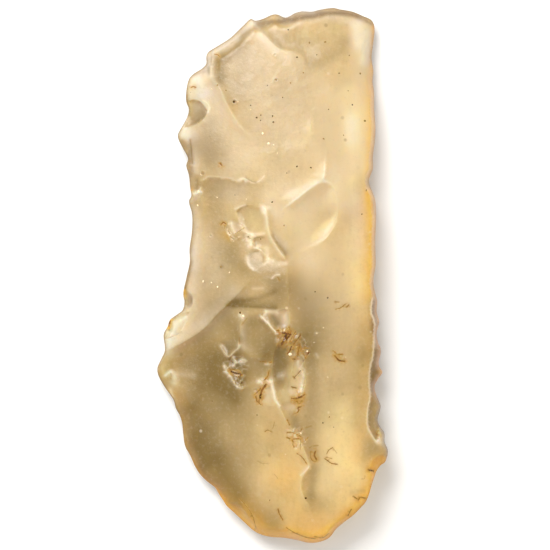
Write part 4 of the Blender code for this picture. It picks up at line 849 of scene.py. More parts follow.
def ridge_height(xy, path, height, left, right, fade):
    off, which, along, length = nearest(curve_through(path, LINE_STEP), xy, 4 * max(left, right))
    width = np.where(which == LEFT, left, right)
    falloff = np.exp(-off / width) * (1 - smooth_share(off, 4 * width))
    return height * falloff * end_fade(along, length, fade)


def chip_depth(xy, ring, depth, wall, lean):
    curve, within, off = ring_curve(ring, xy)
    middle = curve.mean(axis=0)
    half_width = np.abs(curve - middle).max()
    tilt = np.clip(1 + (xy - middle) @ np.array(lean, float) / half_width, 0, 3)
    return np.where(within, depth * tilt * (1 - np.exp(-off / wall)), 0)


def edge_height(xy):
    """Height of the lower side of the rim above the ground. Each lift comes in between two places."""
    x, y = xy.T
    right = straight_share(x, 0, 16) * smooth_share(24 - y, 34)
    corner = straight_share(x, -4, 16) * straight_share(-y, 18, 38)
    butt = straight_share(-y, 30, 44)
    wave = np.sin(1.35 * y + 0.4 * x) * np.sin(0.31 * y + 0.8)
    return (EDGE_HEIGHT + EDGE_LIFT_RIGHT * right + EDGE_LIFT_CORNER * corner
            + EDGE_LIFT_BUTT * butt + EDGE_WAVE * wave)


def underside(xy, from_edge):
    """A shallow bowl: level with the ground in the middle, and up to the rim all round."""
    return edge_height(xy) * np.clip(1 - from_edge / BOWL_WIDTH, 0, 1) ** BOWL_CURVE


def upper_face(xy, from_edge):
    z = sheet_heights(SPOTS, xy)
    for crease in CREASES.values():
        z -= crease_depth(xy, **crease)
    for ridge in RIDGES.values():
        z += ridge_height(xy, **ridge)
    for chip in CHIPS.values():
        z -= chip_depth(xy, **chip)
    edge = edge_height(xy) + RIM
    thick = BEVEL_THICK + (BEVEL_CORNER - BEVEL_THICK) * smooth_share(xy[:, 1] - 28, 7)
    bevel = BEVEL_THIN + (thick - BEVEL_THIN) * straight_share(xy[:, 0], -8, 14)
    z = edge + (z - edge) * (1 - np.clip(1 - from_edge / bevel, 0, 1) ** 2)
    return np.maximum(z, underside(xy, from_edge) + np.minimum(LEAST_THICKNESS, RIM + from_edge))


print("height functions ready")

# %% [markdown]
# ## The mesh
# A grid would blur the crisp arrises, so the points are joined by a Delaunay triangulation that is
# told to keep an edge along every scar line. Each face has its own ring of points on the outline, and
# a rim of narrow quads joins the two rings, so the blade is closed and its edge isn't a knife edge.

# %% Points for the threads and other fine marks
UPPER_STEP = 0.32         # spacing of points on the upper face
UNDER_STEP = 0.8          # and on the underside
EDGE_STEP = 0.32          # and on the outline
THREAD_STEP = 0.13        # and along the rust threads
LEAST_GAP = 0.05          # no two thread points are closer than this
THREAD_ROWS = (0, -0.4, 0.4, -1, 1)       # rows of points along a thread, in half widths
PIT_ROWS = (0.5, 0.8, 1.0, 1.3)           # rings of points round a pit, in radii
PIT_POINTS = 14


def thread_points(marks):
    """Rows of points along each mark: on its path, part of the way out, and at its sides."""
    kept = {}
    for path, half_width, _ in marks:
        centre = curve_through(path, THREAD_STEP)
        heading = np.gradient(centre, axis=0)
        across = np.column_stack([-heading[:, 1], heading[:, 0]])
        across *= half_width / np.linalg.norm(across, axis=1)[:, None]
        for row in THREAD_ROWS:
            for x, y in centre + row * across:
                kept.setdefault((round(x / LEAST_GAP), round(y / LEAST_GAP)), (x, y))
    return np.array(list(kept.values()))


def lattice_in(ring, step):
    """Points on a lattice of triangles, as far as they lie inside the ring."""
    lows, highs = ring.min(axis=0), ring.max(axis=0)
    columns = np.arange(lows[0], highs[0], step)
    rows = np.arange(lows[1], highs[1], step * math.sqrt(0.75))
    lattice = np.array([(x + step / 2 * (row % 2), y) for row, y in enumerate(rows) for x in columns])
    return lattice[inside(ring, lattice)]


def circle(x, y, radius, count):
    turn = np.arange(count) * math.tau / count
    return np.column_stack([x + radius * np.cos(turn), y + radius * np.sin(turn)])


def fine_points():
    """Points for everything on the face that is finer than the net."""
    thin = [mark for strokes in ZONES.values() for mark in strokes
            if mark[1] <= UPPER_STEP and len(mark[0]) > 1]
    groups = [thread_points(RUST + thin)]
    groups += [lattice_in(curve_through(ring, LINE_STEP, closed=True), CRUSHED_STEP)
               for ring in CRUSHED.values()]
    groups += [circle(x, y, row * radius, PIT_POINTS) for x, y, radius, _ in PITS for row in PIT_ROWS]
    return np.vstack(groups)


print("thread points:", len(thread_points(RUST)))

# %% Triangles between the lines
ALL_TRIANGLES = 0         # output_type of delaunay_2d_cdt: the triangles of the whole convex hull
# Least distances in the net, as shares of its step
FROM_RING = 0.5           # of any point from the ring
ALONG_LINE = 0.4          # a line's point that is closer to another is joined to it
FROM_LINE = 0.6           # of the lattice's points from all others


def scar_lines():
    """The paths and rings of all scars, as curves for the mesh to follow."""
    lines = [curve_through(scar["path"], UPPER_STEP) for scar in SCARS.values()]
    rings = [curve_through(chip["ring"], UPPER_STEP, closed=True) for chip in CHIPS.values()]
    return lines + [closed_loop(ring) for ring in rings]


def tree_of(points):
    tree = kdtree.KDTree(len(points))
    for i, point in enumerate(points):
        tree.insert((point[0], point[1], 0), i)
    tree.balance()
    return tree


def apart(points, others, gap):
    """Those of the points that are further than gap from all the others."""
    tree = tree_of(others)
    return points[[tree.find((x, y, 0))[2] > gap for x, y in points]]


def net(ring, lines, extra, step):
    """Triangles that fill the ring with a point about every step, with edges along the lines."""
    points = list(ring)
    edges = [(i, (i + 1) % len(ring)) for i in range(len(ring))]
    loop = closed_loop(ring)
    for line in lines:
        kept = inside(ring, line) & (nearest(loop, line)[0] > FROM_RING * step)
        tree = tree_of(points)
        previous = None
        for point, keep in zip(line, kept):
            index = None
            if keep:
                _, close, gap = tree.find((point[0], point[1], 0))
                index = close if gap < ALONG_LINE * step else len(points)
                if index == len(points):
                    points.append(point)
            if None not in (previous, index) and previous != index:
                edges.append((previous, index))
            previous = index
    points = np.array(points)
    if len(extra):
        extra = extra[inside(ring, extra) & (nearest(loop, extra)[0] > FROM_RING * step)]
        points = np.vstack([points, apart(extra, points, LEAST_GAP)])
    points = np.vstack([points, apart(lattice_in(ring, step), points, FROM_LINE * step)])
    found = delaunay_2d_cdt([Vector(point) for point in points], edges, [], ALL_TRIANGLES, 1e-5, True)
    xy, faces, sources = np.array([tuple(v) for v in found[0]]), np.array(found[2]), found[3]
    faces = faces[inside(ring, xy[faces].mean(axis=1))]
    on_ring = {source: i for i, group in enumerate(sources) for source in group if source < len(ring)}
    return xy, faces, [on_ring[i] for i in range(len(ring))]


print("net ready")

# %% [markdown]
# Between the scars a real face is never quite flat. Fractal noise gives it slow swells, and over them
# a fine unevenness where the desert wind has blasted it. Both are too small for the fixed model.

# %% Fine relief
SWELL_HEIGHT = 0.10
SWELL_LENGTH = 7.0
WEAR_HEIGHT = 0.02
WEAR_LENGTH = 1.3
CRUSHED_FADE = 0.5        # splinters come in over this distance from the ring
SEED_SCATTER = 0.45       # seeds leave their lattice by up to this share of its step
SPLINTER_EDGE = 0.15
PIT_RIM = 0.25            # width of a pit's rim, in radii
PIT_RIM_HEIGHT = 0.5      # and its height, as a share of the pit's depth


def splinters(xy, ring, seed):
    """Height of the splinters in a crushed place, and how near each point is to a splinter's edge."""
    curve, within, off = ring_curve(ring, xy)
    share = np.where(within, smooth_share(off, CRUSHED_FADE), 0)
    height, edge = np.zeros(len(xy)), np.zeros(len(xy))
    random = np.random.default_rng(seed)
    seeds = lattice_in(curve, SPLINTER)
    seeds = seeds + random.uniform(-SEED_SCATTER, SEED_SCATTER, seeds.shape) * SPLINTER
    tilts = random.normal(0, SPLINTER_SLOPE, seeds.shape)
    near = np.flatnonzero(share)
    away = np.hypot(*(xy[near, None, :] - seeds[None, :, :]).transpose(2, 0, 1))
    first, second = np.sort(away, axis=1)[:, :2].T
    own = away.argmin(axis=1)
    height[near] = ((xy[near] - seeds[own]) * tilts[own]).sum(axis=1)
    edge[near] = np.exp(-(second - first) / SPLINTER_EDGE)
    return height * share, edge * share


def pit_relief(xy):
    """Height of the pits with their rims, and how near each point is to a rim."""
    height, rim = np.zeros(len(xy)), np.zeros(len(xy))
    for x, y, radius, depth in PITS:
        off = np.hypot(xy[:, 0] - x, xy[:, 1] - y) / radius
        ring = np.exp(-((off - 1) / PIT_RIM) ** 2)
        height += PIT_RIM_HEIGHT * depth * ring - depth * np.clip(1 - off ** 2, 0, 1)
        rim = np.maximum(rim, ring)
    return height, rim


def fine_relief(xy):
    swell = [noise.fractal((x / SWELL_LENGTH, y / SWELL_LENGTH, 0), 1.0, 2.0, 3) for x, y in xy]
    wear = [noise.fractal((x / WEAR_LENGTH, y / WEAR_LENGTH, 5), 0.8, 2.0, 3) for x, y in xy]
    crushed = sum(splinters(xy, ring, seed)[0] for seed, ring in enumerate(CRUSHED.values()))
    return SWELL_HEIGHT * np.array(swell) + WEAR_HEIGHT * np.array(wear) + crushed + pit_relief(xy)[0]


print("fine relief ready")

# %% The blade
RELIEF_FADE = 1.0         # the fine relief comes in over this distance from the edge
SHARP_ANGLE = 28          # degrees between two faces that make an arris
outline_curve = curve_through(OUTLINE, EDGE_STEP, closed=True)
centre = (outline_curve.min(axis=0) + outline_curve.max(axis=0)) / 2


def blade_mesh():
    """The closed mesh, with the plan position and the distance from the edge of every point."""
    loop = closed_loop(outline_curve)
    top_xy, top_faces, top_ring = net(outline_curve, scar_lines(), fine_points(), UPPER_STEP)
    low_xy, low_faces, low_ring = net(outline_curve, [], [], UNDER_STEP)
    top_edge, low_edge = nearest(loop, top_xy)[0], nearest(loop, low_xy)[0]
    top_z = upper_face(top_xy, top_edge)
    top_z += (fine_relief(top_xy) - THREAD_CUT * near_rust(top_xy)) * smooth_share(top_edge, RELIEF_FADE)
    low_z = underside(low_xy, low_edge)
    xy = np.vstack([top_xy, low_xy])
    low_start = len(top_xy)
    faces = top_faces.tolist() + (low_start + low_faces[:, ::-1]).tolist()
    low_ring = [low_start + i for i in low_ring]
    for i in range(len(outline_curve)):
        after = (i + 1) % len(outline_curve)
        faces.append((top_ring[i], low_ring[i], low_ring[after], top_ring[after]))
    mesh = bpy.data.meshes.new("glass_blade")
    points = np.column_stack([xy - centre, np.append(top_z, low_z)])
    mesh.from_pydata((points * MM).tolist(), [], faces)
    mesh.validate()
    return mesh, xy, np.append(top_edge, low_edge), np.arange(len(xy)) < low_start


mesh, plan, from_edge, on_top = blade_mesh()
blade = place_object("glass_blade", mesh)
mesh.shade_smooth()
mesh.set_sharp_from_angle(angle=math.radians(SHARP_ANGLE))
print("blade triangles:", sum(len(face.vertices) - 2 for face in mesh.polygons))

# %% [markdown]
# ## Zones
# The zones are painted on the points of the mesh, for the shader to read. Besides its strokes, a zone
# takes in one side of a scar, or its line, the floors of chips, and faces with a sharp side. Much of this
# is painted light: painted shade on scar sides turned from the light, painted highlights on lit arrises and
# faces, and a painted glow on lit chip floors.

# %% Sides, lines and floors of the scars
# Painted shade (olive), highlight (pale) or glow (amber) on one side of a crease or ridge: zone, its name,
# side, how far it reaches, strength at the arris
SIDES = [
    ("olive", "flap", RIGHT, 4, 0.2), ("olive", "left_step", RIGHT, 3, 0.2),
    ("olive", "top_scar", LEFT, 6, 0.15), ("pale", "frosted_scar", RIGHT, 3, 0.25),
    ("olive", "frosted_scar", LEFT, 1.6, 0.2), ("olive", "chip_rim", LEFT, 3.5, 0.15),
    ("pale", "chip_rim", RIGHT, 0.5, 0.3), ("olive", "spine", LEFT, 2, 0.25),
    ("pale", "spine", RIGHT, 0.5, 0.15), ("olive", "fold", LEFT, 1.6, 0.3),
    ("olive", "retouch", LEFT, 2.5, 0.6), ("amber", "butt_bevel", RIGHT, 2.5, 0.6),
    ("pale", "top_scar", RIGHT, 1.6, 0.15)]
# A painted highlight (pale) or painted shade (olive, umber) on the line of a crease or ridge itself: zone,
# its name, half width, strength
LINES = [
    ("pale", "dish_brow", 0.16, 0.8), ("pale", "lit_fin", 0.14, 0.9), ("pale", "chip_rim", 0.2, 0.5),
    ("pale", "spine", 0.12, 0.15), ("pale", "retouch", 0.1, 0.5), ("pale", "left_step", 0.1, 0.35),
    ("pale", "frosted_scar", 0.16, 0.4), ("pale", "v_chip", 0.2, 0.42), ("pale", "star_chip", 0.2, 0.38),
    ("pale", "spur", 0.14, 0.9), ("olive", "tip_rib", 0.2, 0.15), ("pale", "cluster_bar", 0.2, 0.5),
    ("olive", "flap", 0.16, 0.3), ("umber", "butt_bevel", 0.12, 0.3)]
# The floor of a chip, with a tint, a painted glow or a painted highlight: zone, its name, over what
# distance it comes in, strength
FLOORS = [
    ("olive", "window", 0.2, 0.44), ("glow", "strip", 0.4, 0.8), ("pale", "strip", 0.4, 0.1),
    ("pale", "patch", 0.4, 0.12), ("pale", "v_pool", 0.3, 0.05), ("glow", "spine_chip", 0.3, 0.4),
    ("olive", "edge_notch", 0.3, 0.5), ("olive", "edge_chip", 0.3, 0.1), ("pale", "side_chip", 0.3, 0.2),
    ("olive", "upper_chip", 0.5, 0.12), ("olive", "lower_chip", 0.5, 0.15), ("olive", "tip_chip", 0.3, 0.1),
    ("glow", "step_chip", 0.4, 0.3), ("pale", "facet", 0.3, 0.3), ("amber", "corner_chip", 0.5, 0.5),
    ("glow", "wedge_chip", 0.3, 0.2)]
# Other faces with one sharp side, mostly the lit wall and brow of the right dish with painted glow and
# highlight: zone, ring, over what distance it comes in, strength
PATCHES = [
    ("glow", [(10.7, 10.4), (9.9, 9.6), (8.3, 8.6), (7, 7.4), (6.2, 6.1), (6.3, 4.8), (7.5, 5.2),
              (8.9, 6.2), (10.2, 7.7), (10.75, 8.6)], 0.7, 0.9),
    ("pale", [(10.7, 10.2), (9.8, 8.9), (8.4, 7.6), (7.2, 6.4), (7.9, 5.5), (9, 6.3), (10.2, 7.7),
              (10.75, 8.6)], 0.6, 0.4),
    ("pale", [(1, 12), (3.6, 12.1), (6.3, 13.8), (8.4, 15), (8.6, 16), (7, 15.7), (5, 14.8),
              (2.5, 13.6)], 0.6, 0.4),
    ("olive", [(-13.6, 27), (-11.1, 27), (-11.2, 25.9), (-12.7, 24.6), (-13.6, 24.6)], 0.3, 0.15)]
print("sides:", len(SIDES), " lines:", len(LINES), " floors:", len(FLOORS), " patches:", len(PATCHES))

# %% Paint the zones
STROKE_STEP = 0.3         # spacing of points along a stroke's path
ARRIS_GAP = 0.3           # the colour of a side comes in over this distance from its arris
BRUISED = 0.35            # paleness of the splinters' edges
# the pits' rims get a painted highlight
LIT_PIT_RIM = 0.1            # and of the pits' rims


def stroke(xy, path, half_width, strength):
    """Strongest on the path, and dies away over about half_width."""
    if len(path) > 1:
        off = nearest(curve_through(path, STROKE_STEP), xy, 3 * half_width)[0]
    else:
        off = np.hypot(*(xy - path[0]).T)
    return strength * np.exp(-(off / half_width) ** 2)


def from_scar(xy, name, reach):
    """How far points are from a scar's line, on which side, and how strong the scar is there."""
    scar = SCARS[name]
    off, which, along, length = nearest(curve_through(scar["path"], LINE_STEP), xy, reach)
    return off, which, end_fade(along, length, scar["fade"])


def on_side(xy, name, side, reach, strength):
    """Strongest along one side of a crease or ridge, and nothing on the other side."""
    off, which, fade = from_scar(xy, name, 6 * reach)
    return np.where(which == side, strength * np.exp(-off / reach) * smooth_share(off, ARRIS_GAP) * fade, 0)


def on_line(xy, name, half_width, strength):
    """Strongest on the line of a crease or ridge."""
    off, _, fade = from_scar(xy, name, 3 * half_width)
    return strength * np.exp(-(off / half_width) ** 2) * fade


def in_ring(xy, ring, soft, strength):
    """Comes in from the ring over the length soft, and is nothing outside it."""
    _, within, off = ring_curve(ring, xy)
    return np.where(within, strength * smooth_share(off, soft), 0)


def zone_strength(zone, xy):
    layers = [stroke(xy, *mark) for mark in ZONES[zone]]
    for table, draw in ((SIDES, on_side), (LINES, on_line), (PATCHES, in_ring)):
        layers += [draw(xy, *rest) for name, *rest in table if name == zone]
    layers += [in_ring(xy, CHIPS[chip]["ring"], *rest) for name, chip, *rest in FLOORS if name == zone]
    if zone == "pale":
        layers += [BRUISED * splinters(xy, ring, seed)[1] for seed, ring in enumerate(CRUSHED.values())]
        layers.append(LIT_PIT_RIM * pit_relief(xy)[1])
    return np.clip(sum(layers), 0, 1)


def store(name, values):
    mesh.attributes.new(name, "FLOAT", "POINT").data.foreach_set("value", values.astype(np.float32))
    print(f"{name}: mean {values.mean():.2f}")


for zone in ZONES:
    store(zone, zone_strength(zone, plan))

# %% The rim, and the rust threads
RIM_GLOW = 0.35           # the darker colour at the edge fades over this distance
STAIN_SPREAD = 4.5        # the stain round a thread is this many times as wide
STAIN_START = 0.4         # rust below this strength leaves no stain
STAIN_STRENGTH = 1.1
store("rim", np.exp(-from_edge / RIM_GLOW))
store("rust", np.where(on_top, near_rust(plan), 0))
pooled = near_rust(plan, STAIN_SPREAD, np.add)      # threads in a crowd stain the glass between them
store("stain", np.where(on_top, np.clip(STAIN_STRENGTH * pooled - STAIN_START, 0, 1), 0))

# %% [markdown]
# ## The glass
# Frosted glass is two things at once. Part of the light passes the surface and is bent (transmission,
# with the index of refraction of silica glass). The rest is scattered by bubbles just inside and comes
# out a few millimetres away (subsurface scattering), warmer than it went in. Numbers that are the same
# everywhere stay on the shader's own sockets. Nodes are only for what changes over the surface: colour,
# roughness, fine relief, and how much of the light passes or is scattered.

# %% Node helpers
def feed(tree, socket, value):
    """Links the value to the socket if it comes out of a node, and otherwise sets it."""
    if isinstance(value, bpy.types.NodeSocket):
        tree.links.new(value, socket)
    else:
        socket.default_value = value


def node(tree, kind, **settings):
    """A new node. Each setting is one of its properties, or goes into one of its inputs."""
    made = tree.nodes.new(kind)
    for name, value in settings.items():
        if name in made.inputs:
            feed(tree, made.inputs[name], value)
        else:
            setattr(made, name, value)
    return made


def new_material(name, settings):
    """A material, its node tree, and its shader with the settings given."""
    material = bpy.data.materials.new(name)
    material.use_nodes = True
    shader = material.node_tree.nodes["Principled BSDF"]
    for socket, value in settings.items():
        shader.inputs[socket].default_value = value
    return material, material.node_tree, shader


def attribute(tree, name):
    return node(tree, "ShaderNodeAttribute", attribute_name=name).outputs["Fac"]


def noise_at(tree, place, scale, detail, roughness):
    made = node(tree, "ShaderNodeTexNoise", Vector=place, Scale=scale, Detail=detail, Roughness=roughness)
    return made.outputs["Fac"]


def blend_colour(tree, share, below, above):
    """Mixes the colour above over the colour below by share. Each may be a value or a socket."""
    mix = node(tree, "ShaderNodeMix", data_type="RGBA")
    for socket, value in zip((mix.inputs[0], mix.inputs[6], mix.inputs[7]), (share, below, above)):
        feed(tree, socket, value)
    return mix.outputs[2]


def maths(tree, operation, *values, held=False):
    """One step of arithmetic on values or sockets. Held, its result stays between 0 and 1."""
    made = node(tree, "ShaderNodeMath", operation=operation, use_clamp=held)
    for socket, value in zip(made.inputs, values):
        feed(tree, socket, value)
    return made.outputs[0]


def scaled(tree, socket, factor, offset=0.0, held=False):
    """A number times a factor, plus an offset."""
    return maths(tree, "MULTIPLY_ADD", socket, factor, offset, held=held)


def dots(tree, place, scale, shift, strength):
    """Small round dots, one in each of about a third of the cells of a Voronoi pattern."""
    moved = node(tree, "ShaderNodeMapping", Vector=place, Location=(shift, shift, shift))
    cells = node(tree, "ShaderNodeTexVoronoi", Vector=moved.outputs["Vector"], Scale=scale)
    split = node(tree, "ShaderNodeSeparateColor", Color=cells.outputs["Color"])
    # a dot is full up to 0.06 of a cell from its middle, and gone at 0.14
    core = scaled(tree, cells.outputs["Distance"], -14.0, 1.9, held=True)
    # a cell's random number has to be above 0.63
    some = scaled(tree, split.outputs["Red"], 3.0, -1.9, held=True)
    return scaled(tree, maths(tree, "MULTIPLY", core, some), strength)


print("node helpers ready")

# %% Glass
# colours of the layers: the body's own tint, a painted glow, frost with painted light on thin glass, amber
# with a painted amber glow, olive and umber tints that also carry painted shade, pale for bruises and
# painted highlights, then rim and rust
BODY = (0.785, 0.60, 0.305, 1.0)
PAINTED_GLOW = (1.0, 0.83, 0.43, 1.0)
AMBER = (1.0, 0.61, 0.125, 1.0)
OLIVE = (0.29, 0.185, 0.035, 1.0)
UMBER = (0.165, 0.10, 0.036, 1.0)
FROST_AND_LIGHT = (0.93, 0.84, 0.72, 1.0)
PALE = (1.0, 0.88, 0.67, 1.0)
RIM_AMBER = (0.52, 0.215, 0.02, 1.0)
RUST_STAIN = (0.60, 0.34, 0.055, 1.0)
RUST_GOLD = (0.38, 0.20, 0.018, 1.0)
RUST_BROWN = (0.18, 0.062, 0.003, 1.0)
RUST_BLACK = (0.02, 0.008, 0.003, 1.0)


def glass_material():
    material, tree, shader = new_material("desert_glass", {
        "IOR": 1.46, "Subsurface Radius": (1.0, 0.72, 0.38), "Subsurface Scale": 0.004,
        "Coat Weight": 0.08, "Coat Roughness": 0.2})
    place = node(tree, "ShaderNodeTexCoord").outputs["Object"]
    drawn_out = node(tree, "ShaderNodeMapping", Vector=place, Rotation=(0, 0, math.radians(-20)),
                     Scale=(1, 0.15, 1)).outputs["Vector"]
    cloud = noise_at(tree, place, 160.0, 3.0, 0.55)
    streaks = noise_at(tree, drawn_out, 600.0, 3.0, 0.6)
    speckle = noise_at(tree, place, 1500.0, 3.0, 0.75)
    grain = noise_at(tree, place, 1800.0, 4.0, 0.6)
    glow, frost, amber, olive, umber, pale, rim, rust, stain = (attribute(tree, name) for name in (
        "glow", "frost", "amber", "olive", "umber", "pale", "rim", "rust", "stain"))
    patchy = scaled(tree, speckle, 2.0)
    patchy_rust = maths(tree, "MULTIPLY", rust, patchy)

    # layers of colour, the lowest first: how much of it is laid on, and the colour. A noise is mostly
    # between 0.3 and 0.7, so an offset of about minus half the factor leaves only its peaks.
    layers = [
        # the first layers are the zones: painted glow, frost with painted light, amber with painted amber
        # glow, olive and umber with painted shade; pale further down also carries painted highlights
        (glow, PAINTED_GLOW), (frost, FROST_AND_LIGHT), (amber, AMBER), (olive, OLIVE), (umber, UMBER),
        (scaled(tree, cloud, 0.5, -0.14), OLIVE), (scaled(tree, streaks, 0.5, -0.25), OLIVE),
        (maths(tree, "MULTIPLY", pale, patchy, held=True), PALE),
        (scaled(tree, speckle, 0.8, -0.42), OLIVE), (scaled(tree, speckle, -0.8, 0.38), PALE),
        (dots(tree, place, 420.0, 0.0, 0.55), PALE), (dots(tree, place, 330.0, 7.0, 0.5), OLIVE),
        # the edge is painted darker, umber, and deep amber where the amber zone reaches it
        (rim, blend_colour(tree, amber, UMBER, RIM_AMBER)),
        (scaled(tree, stain, 0.75), RUST_STAIN), (scaled(tree, patchy_rust, 1.8), RUST_GOLD),
        (scaled(tree, patchy_rust, 1.8, -0.9), RUST_BROWN),
        (scaled(tree, patchy_rust, 2.0, -2.2), RUST_BLACK)]
    colour = BODY
    for share, tint in layers:
        colour = blend_colour(tree, share, colour, tint)
    feed(tree, shader.inputs["Base Color"], colour)

    # rust and the rim let hardly any light in, and umber places pass little of it
    opaque = maths(tree, "MAXIMUM", rust, rim, held=True)
    cloudy = maths(tree, "MAXIMUM", opaque, umber, held=True)
    bump = node(tree, "ShaderNodeBump", Strength=0.5, Distance=0.0001, Height=grain)
    feed(tree, shader.inputs["Roughness"], scaled(tree, pale, 0.15, 0.28))
    feed(tree, shader.inputs["Transmission Weight"], scaled(tree, cloudy, -0.4, 0.45))
    feed(tree, shader.inputs["Subsurface Weight"], scaled(tree, opaque, -0.9, 1.0))
    feed(tree, shader.inputs["Normal"], bump.outputs["Normal"])
    return material


glass = glass_material()
mesh.materials.append(glass)
print("glass nodes:", len(glass.node_tree.nodes))

# %% [markdown]
# ## Mineral grains
# Dark grains and white cristobalite are caught in the face, some tenths of a millimetre across. What
# repeats is best left to Geometry Nodes: the tree below takes a cloud of points, puts a small uneven
# stone on each, turned and squashed at random, and makes real mesh of them.

# %% Where the grains are: x, y, radius
DARK_GRAINS = [
    (2.65, 40.4, 0.16), (4.1, 35.8, 0.2), (-6.4, 28.4, 0.26), (1.7, 29.1, 0.12), (-3.6, 27.8, 0.12),
    (13.3, 27.9, 0.18), (9.35, 27.1, 0.13), (-2.6, 25.75, 0.2), (-1.9, 26.15, 0.12), (-1.95, 25.3, 0.14),
    (0.05, 26, 0.16), (0.2, 25, 0.17), (4.1, 17.6, 0.18), (6.4, 17.4, 0.15), (0, 11.7, 0.19),
    (7.1, -3.2, 0.15), (9.2, -4.2, 0.17), (-5.3, -6.7, 0.2), (8.4, -25, 0.17), (5.5, -37.5, 0.22),
    (-4, 5.9, 0.12), (7.4, 36.2, 0.09), (-0.8, 31.1, 0.1), (-6.2, 12.9, 0.1), (10.2, -25.7, 0.09),
    # chains of them are the black threads
    (-6.75, -16.5, 0.2), (-6.45, -16.6, 0.25), (-6.15, -16.7, 0.25), (-5.85, -16.8, 0.24),
    (-5.55, -16.85, 0.18), (-1.93, -20.2, 0.15), (-1.98, -20.5, 0.2), (-2.02, -20.75, 0.16),
    (4.1, -20.88, 0.09), (4.4, -20.8, 0.11), (4.7, -20.68, 0.09), (1.95, -10.15, 0.1),
    (2.25, -10.2, 0.11), (2.1, -10.7, 0.11), (1.95, -11.05, 0.12), (1.75, -11.5, 0.11),
    (2.75, -10.6, 0.09), (3.05, -12.75, 0.09), (2.85, -13.1, 0.08), (16.2, -32.88, 0.12),
    (16.45, -32.95, 0.13)]
OCHRE_GRAINS = [
    (6.2, 38.2, 0.22), (8.8, 38.3, 0.22), (12.8, 36.1, 0.16), (5.15, 33.2, 0.16), (11.1, 33.1, 0.16),
    (14.6, 33.1, 0.24), (0.6, 32.05, 0.22), (3, 31.5, 0.13), (-7.7, 30.3, 0.13), (15.4, 25.2, 0.2),
    (8.5, 22.2, 0.18), (2.4, 16.5, 0.12), (15.6, 13.7, 0.2), (14.85, 9.7, 0.17), (1.9, 7.8, 0.17),
    (-1.9, 5.6, 0.17), (-8.5, 1, 0.24), (9.45, -24, 0.13), (-2.5, -23.7, 0.16), (-0.4, -37.9, 0.13),
    (-10, -21.4, 0.12), (11.8, 22.8, 0.12), (-9.1, 31.2, 0.2), (-13.6, 30, 0.1), (12.6, 30.2, 0.12)]
PALE_GRAINS = [
    (-10.1, 30.5, 0.16), (-5.7, 28.4, 0.14), (-1.6, 23.1, 0.24), (-0.6, 21.4, 0.28), (0.2, 21.2, 0.16),
    (0.85, 19.8, 0.15), (-4.3, 12.15, 0.15), (-9.2, 12.5, 0.15), (-12.4, 11.2, 0.2), (-7.1, 0, 0.14),
    (-11.5, -1.5, 0.22), (-10.1, -1.7, 0.15), (-9.1, -2.4, 0.16), (8.5, -9.2, 0.13), (7.4, -10.1, 0.14),
    (12.5, 28, 0.13), (5.8, -13.1, 0.17), (4.7, -26.7, 0.18), (-4.8, -7.3, 0.3), (3, -13.6, 0.34),
    (2, -9.6, 0.18), (-12.2, 13.5, 0.3), (-7.4, 7.2, 0.14), (-7, 6.2, 0.15), (-6.4, 5.2, 0.12),
    (-3.6, 27, 0.12), (12.2, -14.1, 0.12), (9.2, -17.4, 0.13), (2.2, -30.2, 0.11), (6.9, -11.6, 0.12)]
SUNK = 0.25               # share of a grain's radius that its middle lies below the face
print("grains:", len(DARK_GRAINS), "dark,", len(OCHRE_GRAINS), "ochre,", len(PALE_GRAINS), "pale")

# %% Geometry Nodes: a stone on every point
def grain_tree():
    tree = bpy.data.node_groups.new("grains_on_points", "GeometryNodeTree")
    for name, kind in (("Geometry", "Geometry"), ("Flatness", "Float"), ("Seed", "Int"),
                       ("Material", "Material")):
        tree.interface.new_socket(name, in_out="INPUT", socket_type="NodeSocket" + kind)
    tree.interface.new_socket("Geometry", in_out="OUTPUT", socket_type="NodeSocketGeometry")
    given = node(tree, "NodeGroupInput").outputs

    stone = node(tree, "GeometryNodeMeshIcoSphere", Radius=1.0, Subdivisions=1)
    radius = node(tree, "GeometryNodeInputNamedAttribute", data_type="FLOAT", Name="radius")
    squash = node(tree, "FunctionNodeRandomValue", data_type="FLOAT_VECTOR", Seed=given["Seed"],
                  Min=(0.7, 0.8, 0.9), Max=(1.2, 1.3, 1.1))
    turn = node(tree, "FunctionNodeRandomValue", data_type="FLOAT_VECTOR", Seed=given["Seed"],
                Max=(0.3, 0.3, math.tau))
    flat = node(tree, "ShaderNodeCombineXYZ", X=1.0, Y=1.0, Z=given["Flatness"])
    size = node(tree, "ShaderNodeVectorMath", operation="MULTIPLY", Vector=squash.outputs["Value"])
    feed(tree, size.inputs[1], flat.outputs[0])
    scale = node(tree, "ShaderNodeVectorMath", operation="SCALE", Vector=size.outputs[0],
                 Scale=radius.outputs["Attribute"])
    put = node(tree, "GeometryNodeInstanceOnPoints", Points=given["Geometry"],
               Instance=stone.outputs["Mesh"], Rotation=turn.outputs["Value"], Scale=scale.outputs[0])
    real = node(tree, "GeometryNodeRealizeInstances", Geometry=put.outputs["Instances"])
    dress = node(tree, "GeometryNodeSetMaterial", Geometry=real.outputs["Geometry"],
                 Material=given["Material"])
    node(tree, "NodeGroupOutput", Geometry=dress.outputs["Geometry"])
    return tree


grains_on_points = grain_tree()
print("grain tree:", len(grains_on_points.nodes), "nodes")

# %% Grain materials
def mineral(name, dark, light, roughness):
    """Dull stone, flecked with two colours."""
    material, tree, shader = new_material(name, {"Roughness": roughness, "Specular IOR Level": 0.2})
    place = node(tree, "ShaderNodeTexCoord").outputs["Object"]
    fleck = noise_at(tree, place, 3000.0, 2.0, 0.5)
    feed(tree, shader.inputs["Base Color"], blend_colour(tree, fleck, dark, light))
    return material


